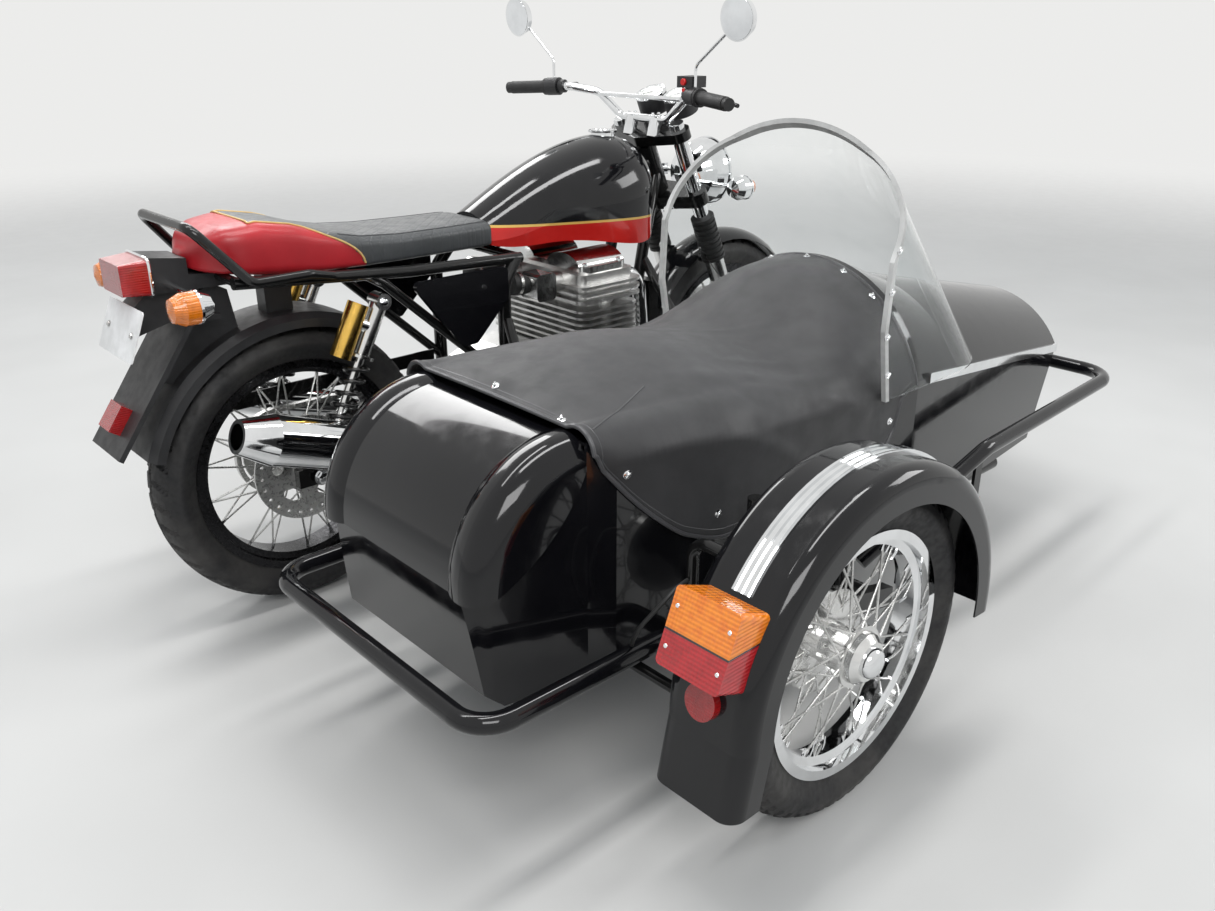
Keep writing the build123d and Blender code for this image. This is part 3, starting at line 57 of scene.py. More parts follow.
# The camera as solved from the photograph: focal length and frame in pixels, degrees, and its place
FOCAL, FRAME_WIDTH = 1050.37, 1215.0
YAW, PITCH = 47.494, -22.841
EYE = (-953.7, -2085.5, 1248.6)
FILM = 36.0


def camera():
    data = bpy.data.cameras.new("camera")
    data.sensor_fit = "HORIZONTAL"
    data.sensor_width = FILM
    data.lens = FILM * FOCAL / FRAME_WIDTH
    data.clip_start = 0.02
    obj = bpy.data.objects.new("camera", data)
    bpy.context.scene.collection.objects.link(obj)
    yaw, pitch = math.radians(YAW), math.radians(PITCH)
    look = Vector((math.cos(yaw) * math.cos(pitch), math.sin(yaw) * math.cos(pitch), math.sin(pitch)))
    obj.location = at(*EYE)
    obj.rotation_euler = look.to_track_quat("-Z", "Y").to_euler()
    bpy.context.scene.camera = obj


# Materials
class Shader:
    """A short way to write a shader's node tree."""

    def __init__(self, name):
        self.mat = bpy.data.materials.new(name)
        self.mat.use_nodes = True
        self.tree = self.mat.node_tree
        self.bsdf = self.tree.nodes["Principled BSDF"]
        self.place = self.tree.nodes.new("ShaderNodeTexCoord").outputs["Object"]

    def put(self, socket, value):
        if isinstance(value, bpy.types.NodeSocket):
            self.tree.links.new(value, socket)
        else:
            socket.default_value = value

    def add(self, kind, inputs=None, **settings):
        node = self.tree.nodes.new(kind)
        for key, value in settings.items():
            setattr(node, key, value)
        for key, value in (inputs or {}).items():
            self.put(node.inputs[key], value)
        return node

    def set(self, **values):
        for key, value in values.items():
            self.put(self.bsdf.inputs[key.replace("_", " ")], value)
        return self

    def noise(self, scale, detail=4.0, rough=0.55):
        sockets = {"Vector": self.place, "Scale": scale, "Detail": detail, "Roughness": rough}
        return self.add("ShaderNodeTexNoise", sockets).outputs["Fac"]

    def cells(self, scale):
        return self.add("ShaderNodeTexVoronoi", {"Vector": self.place, "Scale": scale}).outputs["Distance"]

    def span(self, value, low, high, out_low=0.0, out_high=1.0):
        sockets = {"Value": value, "From Min": low, "From Max": high, "To Min": out_low, "To Max": out_high}
        return self.add("ShaderNodeMapRange", sockets, interpolation_type="SMOOTHSTEP").outputs["Result"]

    def math(self, operation, a, b=0.0):
        node = self.add("ShaderNodeMath", operation=operation)
        self.put(node.inputs[0], a)
        self.put(node.inputs[1], b)
        return node.outputs[0]

    def mix(self, factor, a, b):
        node = self.add("ShaderNodeMix", data_type="RGBA")
        self.put(node.inputs[0], factor)
        self.put(node.inputs[6], a)
        self.put(node.inputs[7], b)
        return node.outputs[2]

    def xyz(self):
        return self.add("ShaderNodeSeparateXYZ", {"Vector": self.place}).outputs

    def bump(self, height, strength, distance):
        earlier = self.bsdf.inputs["Normal"].links
        node = self.add("ShaderNodeBump", {"Height": height, "Strength": strength, "Distance": distance})
        if earlier:
            self.tree.links.new(earlier[0].from_socket, node.inputs["Normal"])
        self.tree.links.new(node.outputs["Normal"], self.bsdf.inputs["Normal"])
        return self


def rgb(colour, gain=1.0, lift=0.0):
    return tuple(min(1.0, c * gain + lift) for c in colour) + (1.0,)


def gloss(shader, rough, dust):
    """The surface of deep gloss paint: a thin clear coat, a little dust and a faint orange peel."""
    dusty = shader.span(shader.noise(30.0, 5.0), 0.3, 0.8, rough, rough + dust)
    shader.set(Roughness=dusty, Specular_IOR_Level=0.25, Coat_Weight=0.35, Coat_Roughness=0.03)
    return shader.bump(shader.noise(200.0, 2.0), 0.02, 0.0003).mat


def paint(name, colour, rough=0.06, dust=0.12):
    s = Shader(name)
    s.set(Base_Color=s.mix(s.span(s.noise(6.0, 3.0), 0.35, 0.75), rgb(colour), rgb(colour, 1.25, 0.002)))
    return gloss(s, rough, dust)


def metal(name, colour, rough, grain=0.08, bump=0.02, scale=90.0):
    """Chrome, alloy and steel: a metal whose roughness and tone drift a little."""
    s = Shader(name)
    tone = s.span(s.noise(scale * 0.2), 0.3, 0.8)
    s.set(Base_Color=s.mix(tone, rgb(colour), rgb(colour, 0.86)), Metallic=1.0)
    s.set(Roughness=s.span(s.noise(scale, 6.0), 0.3, 0.75, rough, rough + grain))
    return s.bump(s.noise(scale * 3.0, 5.0), bump, 0.0005).mat


def moulded(name, colour, rough, grain=0.25, scale=900.0):
    """Moulded plastic and rubber with a fine grain."""
    s = Shader(name)
    s.set(Base_Color=s.mix(s.span(s.noise(14.0, 5.0), 0.3, 0.75), rgb(colour), rgb(colour, 1.6, 0.004)))
    s.set(Roughness=s.span(s.noise(40.0), 0.3, 0.8, rough - 0.07, rough + 0.08))
    return s.bump(s.noise(scale, 3.0), grain, 0.0003).mat


def ribbed(shader, pitch, strength=0.35):
    """Fine moulded prisms on a lens, in rows and columns."""
    parts = shader.xyz()
    rows = shader.math("SINE", shader.math("MULTIPLY", parts["Z"], math.tau / pitch))
    columns = shader.math("SINE", shader.math("MULTIPLY", parts["Y"], math.tau / pitch))
    return shader.bump(shader.math("ADD", rows, columns), strength, 0.0006)


def lens(name, colour):
    s = Shader(name)
    s.set(Base_Color=s.mix(s.span(s.noise(60.0), 0.3, 0.8), rgb(colour), rgb(colour, 0.7)))
    s.set(Roughness=s.span(s.noise(200.0), 0.3, 0.8, 0.05, 0.13), Coat_Weight=0.8, Coat_Roughness=0.03)
    s.set(Transmission_Weight=0.2, IOR=1.49)
    return ribbed(s, 0.0045).mat


# The dark line across the sidecar's lamp and the gold one along the tank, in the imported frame's metres: the
# heights of the first one's edges, and of the second its fall for each metre forward and its height at x = 0
LENS_LINE = (0.457, 0.460)
TANK_FALL, TANK_HEIGHT = -0.0491, 0.7807
EDGE_BLEND = 0.0004


def tail_lens(name):
    """The sidecar's lamp: amber above, red below, parted by a dark line."""
    s = Shader(name)
    height = s.xyz()["Z"]
    red = s.mix(s.span(s.noise(60.0), 0.3, 0.8), rgb((0.5, 0.006, 0.012)), rgb((0.36, 0.004, 0.008)))
    amber = s.mix(s.span(s.noise(60.0), 0.3, 0.8), rgb((0.95, 0.27, 0.01)), rgb((0.8, 0.17, 0.006)))
    steps = [s.span(height, edge, edge + EDGE_BLEND) for edge in LENS_LINE]
    lower = s.mix(steps[0], red, rgb((0.02, 0.01, 0.01)))
    s.set(Base_Color=s.mix(steps[1], lower, amber))
    s.set(Roughness=s.span(s.noise(200.0), 0.3, 0.8, 0.06, 0.14), Coat_Weight=0.8, Coat_Roughness=0.03)
    return ribbed(s, 0.006, 0.5).mat


def tyre_rubber(name):
    s = Shader(name)
    tone = s.span(s.noise(9.0, 6.0), 0.3, 0.75)
    s.set(Base_Color=s.mix(tone, rgb((0.01, 0.01, 0.011)), rgb((0.04, 0.038, 0.036))))
    s.set(Roughness=s.span(s.noise(70.0, 5.0), 0.3, 0.8, 0.5, 0.8), Specular_IOR_Level=0.4)
    return s.bump(s.noise(500.0, 6.0), 0.25, 0.0006).mat


def coated_cloth(name, colour, rough=0.58):
    """Tonneau cloth: a fine twill under a matt coat, with soft handling marks."""
    s = Shader(name)
    s.set(Base_Color=s.mix(s.span(s.noise(4.0, 6.0, 0.6), 0.3, 0.75), rgb(colour), rgb(colour, 1.6, 0.004)))
    s.set(Roughness=s.span(s.noise(22.0, 5.0), 0.3, 0.8, rough - 0.1, rough + 0.1))
    s.set(Sheen_Weight=0.1, Sheen_Roughness=0.5)
    parts = s.xyz()
    warp = s.math("SINE", s.math("MULTIPLY", s.math("ADD", parts["X"], parts["Z"]), 4200.0))
    weft = s.math("SINE", s.math("MULTIPLY", s.math("SUBTRACT", parts["Y"], parts["Z"]), 4200.0))
    s.bump(s.math("MULTIPLY", warp, weft), 0.22, 0.0003)
    return s.bump(s.noise(70.0, 6.0), 0.25, 0.0008).mat


def vinyl(name, colour, rough=0.42, diamond=0.0):
    """Seat vinyl with a pebbled grain, stitched in diamonds of a size in millimetres where one is given."""
    s = Shader(name)
    s.set(Base_Color=s.mix(s.span(s.noise(7.0, 5.0), 0.3, 0.75), rgb(colour), rgb(colour, 1.35, 0.003)))
    s.set(Roughness=s.span(s.noise(35.0, 5.0), 0.3, 0.8, rough - 0.08, rough + 0.1))
    if diamond:
        parts = s.xyz()
        waves = [s.math(way, parts["X"], parts["Y"]) for way in ("ADD", "SUBTRACT")]
        turns = [s.math("MULTIPLY", wave, 1000 * math.pi / diamond) for wave in waves]
        lines = [s.math("ABSOLUTE", s.math("SINE", turn)) for turn in turns]
        s.bump(s.span(s.math("MINIMUM", lines[0], lines[1]), 0.0, 0.5), 0.3, 0.0015)
    return s.bump(s.cells(620.0), 0.22, 0.0005).mat


def acrylic(name):
    s = Shader(name)
    tone = s.span(s.noise(12.0, 6.0), 0.4, 0.8)
    s.set(Base_Color=s.mix(tone, rgb((0.97, 0.985, 0.985)), rgb((0.93, 0.95, 0.95))))
    s.set(Roughness=s.span(s.noise(60.0, 6.0), 0.45, 0.85, 0.0, 0.05), Transmission_Weight=1.0, IOR=1.12)
    return s.mat


def tank_paint(name):
    """Black over red, parted by a thin gold line that falls towards the front."""
    s = Shader(name)
    parts = s.xyz()
    line = s.math("ADD", s.math("MULTIPLY", parts["X"], TANK_FALL), TANK_HEIGHT)
    over = s.math("SUBTRACT", parts["Z"], line)
    tone = s.span(s.noise(8.0), 0.3, 0.8)
    red = s.mix(tone, rgb((0.42, 0.012, 0.01)), rgb((0.55, 0.02, 0.015)))
    black = s.mix(tone, rgb((0.004, 0.004, 0.005)), rgb((0.008, 0.008, 0.009)))
    lower = s.mix(s.span(over, -0.0045, -0.0040), red, rgb((0.62, 0.40, 0.10)))
    s.set(Base_Color=s.mix(s.span(over, 0.0012, 0.0017), lower, black))
    return gloss(s, 0.06, 0.09)


M = {
    "black": paint("gloss_black_paint", (0.004, 0.004, 0.005)),
    "frame": paint("frame_black_paint", (0.006, 0.006, 0.006), 0.12, 0.14),
    "tank": tank_paint("tank_black_over_red"),
    "chrome": metal("polished_chrome", (0.86, 0.87, 0.88), 0.03, 0.05, 0.01),
    "alloy": metal("polished_alloy", (0.78, 0.78, 0.77), 0.12, 0.12, 0.03),
    "cast": metal("cast_alloy", (0.6, 0.6, 0.59), 0.28, 0.2, 0.12, 160.0),
    "steel": metal("ground_steel", (0.55, 0.55, 0.54), 0.22, 0.2, 0.08, 140.0),
    "gold": metal("gold_anodised", (0.83, 0.52, 0.12), 0.16, 0.12, 0.03),
    "dark_rim": metal("black_rim", (0.035, 0.035, 0.037), 0.22, 0.15, 0.04, 120.0),
    "mirror": metal("mirror_glass", (0.82, 0.84, 0.86), 0.01, 0.02, 0.003),
    "tyre": tyre_rubber("tyre_rubber"),
    "rubber": moulded("black_rubber", (0.012, 0.012, 0.012), 0.6, 0.3, 700.0),
    "plastic": moulded("black_plastic", (0.014, 0.014, 0.015), 0.46),
    "white": moulded("white_plate", (0.72, 0.72, 0.71), 0.35, 0.05),
    "dial": moulded("dial_card", (0.75, 0.75, 0.72), 0.5, 0.05),
    "red_part": moulded("red_plastic", (0.5, 0.01, 0.01), 0.4, 0.1),
    "red_lens": lens("red_lens", (0.5, 0.008, 0.01)),
    "amber_lens": lens("amber_lens", (0.95, 0.25, 0.01)),
    "tail_lens": tail_lens("amber_over_red_lens"),
    "clear": acrylic("clear_acrylic"),
    "trim": moulded("grey_trim", (0.42, 0.42, 0.41), 0.35, 0.1),
    "seat_black": vinyl("seat_black_vinyl", (0.04, 0.042, 0.044)),
    "seat_red": vinyl("seat_red_vinyl", (0.36, 0.012, 0.018), 0.36),
    "piping": vinyl("gold_piping", (0.55, 0.38, 0.14), 0.4),
    "cover": coated_cloth("tonneau_cloth", (0.018, 0.018, 0.0195)),
    "quilted": vinyl("quilted_black_vinyl", (0.045, 0.048, 0.05), 0.38, 26.0),
    "lamp_glass": lens("lamp_glass", (0.82, 0.85, 0.87)),
    "hem": vinyl("hem_binding", (0.05, 0.05, 0.053), 0.36),
}

NODE_MATERIALS = {
    "rear_wheel": "steel", "rear_tyre": "tyre", "rear_disc": "steel", "front_wheel": "steel",
    "front_tyre": "tyre", "front_disc": "steel", "sidecar_wheel": "steel", "sidecar_tyre": "tyre",
    "main_frame": "frame", "engine_block": "cast", "engine_side_covers": "alloy", "cylinders": "cast",
    "rocker_covers": "alloy", "throttle_bodies": "rubber", "exhaust": "chrome", "oil_cooler": "frame",
    "fuel_tank": "tank", "fuel_cap": "chrome", "saddle": "seat_black", "side_panels": "black",
    "grab_rail": "frame", "rear_mudguard": "plastic", "rear_lamps": "red_lens", "rear_indicators": "chrome",
    "number_plate": "white", "swingarm": "frame", "shock_bodies": "alloy", "shock_springs": "frame",
    "drive_chain": "steel", "rear_brake_caliper": "frame", "foot_pegs": "rubber", "side_stand": "frame",
    "fork_legs": "alloy", "fork_yokes": "frame", "fork_gaiters": "rubber", "front_mudguard": "black",
    "headlamp": "chrome", "clocks": "plastic", "handlebar": "chrome", "grips": "rubber",
    "bar_controls": "plastic", "mirrors": "chrome", "front_indicators": "chrome",
    "front_brake_caliper": "frame", "sidecar_floor": "frame", "sidecar_tub": "black",
    "sidecar_bonnet": "black", "chrome_strips": "chrome", "tonneau": "cover", "windscreen": "clear",
    "screen_trim": "trim", "sidecar_chassis": "frame", "bumper_bars": "black", "wheel_arm": "frame",
    "sidecar_mudguard": "black", "sidecar_lamps": "tail_lens", "marker_lamp": "amber_lens",
    "coupling_struts": "frame", "lamp_wire": "rubber",
}


def dress_nodes():
    for name, material in NODE_MATERIALS.items():
        NODES[name].data.materials.clear()
        NODES[name].data.materials.append(M[material])


def zone(name, material, test):
    """The faces of a node whose middle, in datum millimetres, passes the test get another material."""
    mesh = NODES[name].data
    mesh.materials.append(M[material])
    for face in mesh.polygons:
        if test((face.center - SHIFT) * 1000):
            face.material_index = len(mesh.materials) - 1


def from_axle(point, axle):
    return math.hypot(point.x - axle[0], point.z - axle[2])


def in_reservoir(point):
    """Whether a point lies on a damper's piggyback reservoir: between two planes across it, and beside it."""
    top, foot = (Vector((x, 0, z)) for x, z in (DAMPER_TOP, DAMPER_FOOT))
    fall = (foot - top).normalized()
    side = Vector((fall.z, 0, -fall.x))
    offset = Vector((point.x, 0, point.z)) - top
    return 19 < offset.dot(fall) < 141 and offset.dot(side) > 26


# Radii inside which a wheel's hub lies and outside which its rim does, and how far out an indicator's lens is
HUB, RIM = 62, 205
CAR_HUB, CAR_RIM = 95, 180
LENS_OUT = 150


def zones():
    zone("rear_wheel", "dark_rim", lambda p: from_axle(p, REAR_AXLE) > RIM)
    zone("rear_wheel", "alloy", lambda p: from_axle(p, REAR_AXLE) < HUB)
    zone("front_wheel", "dark_rim", lambda p: from_axle(p, FRONT_AXLE) > RIM)
    zone("front_wheel", "alloy", lambda p: from_axle(p, FRONT_AXLE) < HUB)
    zone("sidecar_wheel", "chrome", lambda p: from_axle(p, CAR_AXLE) > CAR_RIM)
    zone("sidecar_wheel", "alloy", lambda p: from_axle(p, CAR_AXLE) < CAR_HUB)
    zone("rear_indicators", "amber_lens", lambda p: p.x < -238 and abs(p.y) > LENS_OUT)
    zone("front_indicators", "amber_lens", lambda p: p.x > 1275 and abs(p.y) > LENS_OUT)
    zone("shock_bodies", "gold", in_reservoir)
    zone("sidecar_lamps", "red_lens", lambda p: p.z < 395)
    zone("fork_legs", "chrome", lambda p: p.z > 612)
    zone("foot_pegs", "alloy", lambda p: abs(p.y) < 165)
    zone("throttle_bodies", "alloy", lambda p: abs(p.y) > 112)


# Mesh helpers
def new_object(name, mesh, material, body, smooth=40):
    obj = bpy.data.objects.new(name, mesh)
    bpy.context.scene.collection.objects.link(obj)
    mesh.materials.append(M[material])
    for face in mesh.polygons:
        face.use_smooth = True
    mesh.set_sharp_from_angle(angle=math.radians(smooth))
    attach(obj, body)
    return obj


def mesh_from(name, points, faces):
    mesh = bpy.data.meshes.new(name)
    mesh.from_pydata([at(*p) for p in points], [], faces)
    mesh.validate()
    bm = bmesh.new()
    bm.from_mesh(mesh)
    bmesh.ops.recalc_face_normals(bm, faces=bm.faces)
    bm.to_mesh(mesh)
    bm.free()
    return mesh


def ring(centre, first, second, radius, sides):
    """Points of a circle that lies in the plane of two directions."""
    turns = [k * math.tau / sides for k in range(sides)]
    return [Vector(centre) + (first * math.cos(a) + second * math.sin(a)) * radius for a in turns]


class Sketch:
    """Gathers the turned and drawn parts of one piece, in datum millimetres."""

    def __init__(self):
        self.points = []
        self.faces = []

    def grid(self, rows, closed_rows=False, closed_columns=False):
        """A surface through rows of points."""
        start, across, along = len(self.points), len(rows[0]), len(rows)
        for row in rows:
            self.points.extend(tuple(p) for p in row)
        for i in range(along if closed_rows else along - 1):
            for j in range(across if closed_columns else across - 1):
                a, b = start + i * across, start + (i + 1) % along * across
                c, d = j, (j + 1) % across
                self.faces.append([a + c, a + d, b + d, b + c])
        return self

    def turned(self, centre, axis, outline, sides=24):
        """A turned form from (distance along the axis, radius) pairs; radius 0 closes an end."""
        axis = Vector(axis).normalized()
        first = axis.orthogonal().normalized()
        second = axis.cross(first)
        rows = [ring(Vector(centre) + axis * d, first, second, max(r, 0.02), sides) for d, r in outline]
        return self.grid(rows, closed_columns=True)

    def stub(self, centre, axis, radius, length, sides=20, edge=0.6):
        """A short bar with an eased far edge, from a centre along an axis."""
        outline = [(0, 0), (0, radius), (length - edge, radius), (length, radius - edge), (length, 0)]
        return self.turned(centre, axis, outline, sides)

    def tube(self, path, radius, sides=10, closed=False):
        """A round tube along points."""
        path = [Vector(p) for p in path]
        rows, normal = [], None
        for i, point in enumerate(path):
            ahead = path[(i + 1) % len(path)] if closed or i + 1 < len(path) else point
            behind = path[i - 1] if closed or i else point
            along = (ahead - behind).normalized()
            normal = along.orthogonal() if normal is None else normal - along * normal.dot(along)
            normal = normal.normalized()
            rows.append(ring(point, normal, along.cross(normal), radius, sides))
        if not closed:
            rows = [[path[0]] * sides] + rows + [[path[-1]] * sides]
        return self.grid(rows, closed_rows=closed, closed_columns=True)

    def bolt(self, centre, axis, radius=6, height=5):
        """A hexagon head on a washer."""
        axis = Vector(axis).normalized()
        self.turned(centre, axis, [(0, 0), (0, radius * 1.35), (1.2, radius * 1.35), (1.2, radius)], 16)
        outline = [(1.2, radius), (height - 0.8, radius), (height, radius * 0.86), (height, 0)]
        return self.turned(centre, axis, outline, 6)

    def make(self, name, material, body="chassis", smooth=40):
        return new_object(name, mesh_from(name, self.points, self.faces), material, body, smooth)


def curve_through(points, steps):
    """Points of a smooth curve through the given ones."""
    points = [Vector(p) for p in points]
    ends = [2 * points[0] - points[1]] + points + [2 * points[-1] - points[-2]]
    out = []
    for a, b, c, d in zip(ends, ends[1:], ends[2:], ends[3:]):
        for k in range(steps):
            t = k / steps
            cubic = (3 * b - a - 3 * c + d) * t ** 3
            out.append(0.5 * (2 * b + (c - a) * t + (2 * a - 5 * b + 4 * c - d) * t * t + cubic))
    return out + [points[-1]]


def table_at(table, x):
    """Values at x from a table of rows that start with x, on straight lines between rows."""
    if x <= table[0][0]:
        return table[0][1:]
    for low, high in zip(table, table[1:]):
        if x <= high[0]:
            t = (x - low[0]) / (high[0] - low[0])
            return tuple(a + (b - a) * t for a, b in zip(low[1:], high[1:]))
    return table[-1][1:]


def even_points(points, steps):
    """Points that part a line into steps of one length."""
    reach = [0.0]
    for p, q in zip(points, points[1:]):
        reach.append(reach[-1] + math.dist(p, q))
    out, j = [], 0
    for k in range(steps + 1):
        want = reach[-1] * k / steps
        while j < len(reach) - 2 and reach[j + 1] < want:
            j += 1
        share = (want - reach[j]) / max(1e-6, reach[j + 1] - reach[j])
        out.append([a + (b - a) * share for a, b in zip(points[j], points[j + 1])])
    return out


# Tyres with cut tread
TYRE_TURNS, TYRE_CROWN = 480, 26


def tyre(name, node, body, axle, radius, width, bead, rim_width, depth, tread):
    """A tyre in the CAD tyre's outline; tread(turn, across) says how deep it is cut, from 0 to 1."""
    half = rim_width / 2 - 3
    height = radius - bead
    top_x, top_r = 0.43 * width, radius - 0.2 * height
    sag = radius - top_r
    circle = (top_x ** 2 + sag ** 2) / (2 * sag)
    edge = math.asin(top_x / circle)
    wall = [(half, bead + 14, 0), (width / 2 - 0.8, bead + 0.52 * height, 0), (top_x + 0.6, top_r - 4, 0)]
    profile = [(half, bead + 0.5, 0), (half, bead + 8, 0)] + [tuple(p) for p in curve_through(wall, 6)]
    sides = len(profile)
    for k in range(1, TYRE_CROWN):
        a = edge - 2 * edge * k / TYRE_CROWN
        profile.append((circle * math.sin(a), radius - circle + circle * math.cos(a), 1))
    profile += [(-x, r, cut) for x, r, cut in reversed(profile[:sides])]
    rows = []
    for i in range(TYRE_TURNS):
        turn = i / TYRE_TURNS
        angle = turn * math.tau
        row = []
        for x, r, cut in profile:
            r -= depth * tread(turn, x / top_x) if cut else 0
            row.append((axle[0] + r * math.sin(angle), axle[1] + x, axle[2] + r * math.cos(angle)))
        rows.append(row)
    obj = Sketch().grid(rows, closed_rows=True, closed_columns=True).make(name, "tyre", body, 28)
    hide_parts(node)


def groove(value, width):
    """1 within half the width of a whole number, 0 elsewhere."""
    return 1.0 if abs(value - round(value)) < width / 2 else 0.0


def road_tread(turn, x):
    """Slanted blocks beside a wavy centre groove."""
    wave = 0.05 * math.sin(turn * math.tau * 40)
    centre = 1.0 if abs(x - wave) < 0.045 else 0.0
    slant = turn * 40 + 0.5 * abs(x) + (0.5 if x > 0 else 0.0)
    return max(centre, groove(slant, 0.24) if 0.22 < abs(x) < 0.92 else 0.0)


def block_tread(turn, x):
    """Square blocks in rows: two grooves around, and cross cuts that stagger from row to row."""
    around = abs(abs(x) - 0.3) < 0.05 or abs(abs(x) - 0.66) < 0.05
    row = 1 if 0.3 < abs(x) < 0.66 else 0
    return max(1.0 if around else 0.0, groove(turn * 60 + 0.5 * row, 0.26))


def tyres():
    for wheel, axle, sizes, tread in (
        ("rear", REAR_AXLE, (319.5, 130, 228.6, 96, 5), road_tread),
        ("front", FRONT_AXLE, (318.5, 100, 228.6, 72, 4.5), road_tread),
        ("sidecar", CAR_AXLE, (293, 90, 203.2, 66, 6), block_tread),
    ):
        tyre(f"{wheel}_tyre_tread", f"{wheel}_tyre", f"{wheel}_wheel_set", axle, *sizes, tread)


def nipples(name, body, axle, rim_radius, rim_y, pairs):
    """The spoke nipples that stand on a rim's well."""
    sketch = Sketch()
    for side in (1, -1):
        for index in range(pairs):
            for lean in (1, -1):
                turn = 360 / pairs * (index + 0.25 * side)
                outer = math.radians(turn + lean * 50 - lean * 90 / pairs)
                out = Vector((math.cos(outer), 0, math.sin(outer)))
                tip = Vector(axle) + out * rim_radius + Vector((0, side * rim_y, 0))
                sketch.turned(tip, -out, [(-4, 0), (-4, 3.6), (10, 3.0), (14, 2.4), (14, 0)], 8)
    sketch.make(name, "chrome", body)


# Saddle: black quilted top, red hump and gold piping between them, which starts low in front, has reached the
# top's edge at SEAM_TOP and crosses the hump at SEAM_BACK; the rows are x, low and high
SEAM_FRONT, SEAM_TOP, SEAM_BACK = 159, -40, -75
SADDLE_BACK, SADDLE_FRONT = -186, 498
WELT_BACK, WELT_FRONT = 110, 494
SADDLE_LINE = [
    (-184, 788, 824), (-165, 781, 850), (-130, 775, 866), (-61, 765, 874), (10, 757, 861), (80, 753, 838),
    (160, 750, 820), (250, 749, 812), (380, 747, 809), (480, 746, 808), (498, 747, 806),
]


def saddle_half(x):
    """The saddle's half width: a round tail, and drawn in towards the tank."""
    tail = math.sqrt(max(0.0, 1 - ((-80 - x) / 108) ** 2)) if x < -80 else 1.0
    waist = 1 - 0.12 * max(0.0, (x - 200) / 300) ** 1.5
    return 117 * max(0.25, tail) * waist


def saddle_point(x, turn, lift=0.0):
    """A point of the cover at x, turned about its middle from the left side over the top."""
    low, high = table_at(SADDLE_LINE, x)
    c, s = math.cos(turn), math.sin(turn)
    y = (saddle_half(x) + lift) * math.copysign(abs(c) ** 0.42, c)
    z = (low + high) / 2 + ((high - low) / 2 + lift) * math.copysign(abs(s) ** (0.5 if s > 0 else 0.25), s)
    return Vector((x, y, z))


def seam_point(x, side):
    """A point of the piping at x, where the saddle's black top meets its red side."""
    low, high = table_at(SADDLE_LINE, x)
    middle, half = (low + high) / 2, (high - low) / 2
    rise = (seam_height(x) - middle) / half
    s = rise ** 2 if rise > 0 else -(rise ** 4)
    return saddle_point(x, math.atan2(s, side * math.sqrt(1 - s * s)), 0.6)


def seam_height(x):
    """The height at which red meets black on the saddle's side."""
    low, high = table_at(SADDLE_LINE, x)
    t = min(1.0, max(0.0, (x - SEAM_TOP) / (SEAM_FRONT - SEAM_TOP)))
    return min(low + (high - low) * (1 - t ** 2.6) ** (1 / 2.6), high - 3)


def saddle():
    around, stations = 72, 150
    rows = []
    for i in range(stations + 1):
        x = SADDLE_BACK + (SADDLE_FRONT - SADDLE_BACK) * i / stations
        rows.append([saddle_point(x, math.tau * k / around) for k in range(around)])
    for end, out in ((0, -5), (-1, 3)):
        row = rows[end]
        middle = sum(row, Vector()) / around
        caps = []
        for share, rise in ((0.8, 0.7), (0.02, 1.0)):
            caps.append([middle + (p - middle) * share + Vector((out * rise, 0, 0)) for p in row])
        rows = caps[::-1] + rows if end == 0 else rows + caps
    obj = Sketch().grid(rows, closed_columns=True).make("saddle_cover", "quilted", "chassis", 180)
    obj.data.materials.append(M["seat_red"])
    for face in obj.data.polygons:
        p = (face.center - SHIFT) * 1000
        red = p.x < SEAM_BACK or p.x < SEAM_FRONT and p.z < seam_height(p.x)
        face.material_index = 1 if red else 0
    run = [SEAM_BACK + (SEAM_FRONT - 1 - SEAM_BACK) * k / 60 for k in range(61)]
    left, right = [seam_point(x, 1) for x in run], [seam_point(x, -1) for x in run]
    top = table_at(SADDLE_LINE, SEAM_BACK)[1] + 0.6
    across = [Vector((SEAM_BACK - 0.5, left[0].y * k / 8, top)) for k in range(7, -8, -1)]
    Sketch().tube(left[::-1] + across + right, 2.2, 8).make("saddle_piping", "piping")
    welts = Sketch()
    for side in (1, -1):
        turn = math.atan2(0.78, side * 0.626)
        places = [WELT_BACK + (WELT_FRONT - WELT_BACK) * k / 40 for k in range(41)]
        welts.tube([saddle_point(x, turn, 0.2) for x in places], 1.3, 6)
    welts.make("saddle_welts", "seat_black")
    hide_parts("saddle")


# Tonneau cover: rows are x, half width, side, corner half width, corner, side bulge and top, as in the CAD
# source, but with more bulge in the first two, where the cloth goes over the tub's rim
HOOD = [
    (14, 243, 606, 194, 662, 34, 664), (60, 258, 600, 200, 664, 26, 680),
    (300, 283.5, 592, 214, 656, 15, 702), (560, 282.5, 578, 214, 628, 11, 668),
    (800, 277.4, 564, 200, 691, 10, 768), (866, 276.6, 560.7, 200, 691, 10, 772.4),
]
RIGHT_HEM = [
    (14, 636), (30, 612), (62, 570), (126, 504), (200, 448), (290, 419), (480, 413), (680, 419), (760, 442),
    (794, 478), (806, 522), (818, 546), (866, 555),
]
LEFT_HEM = [(14, 638), (300, 567), (800, 539), (866, 553)]

# Where the cover ends, and its rows along and points across
COVER_BACK, COVER_FRONT = 14, 862
STATIONS, ACROSS = 168, 112

# Turn buttons: (x, column) of those along the edges, and the columns of those across the front
NEAR = 6
EDGE_BUTTONS = (
    (34, 62), (24, 24), (76, NEAR), (268, NEAR), (520, NEAR), (777, NEAR), (320, ACROSS - NEAR),
    (640, ACROSS - NEAR),
)
FRONT_BUTTONS = (30, 42, 56, 70, 82)

# The sewn seam on the cover's right shoulder: (x, y) of its ends
COVER_SEAM = ((30, -978), (205, -911))

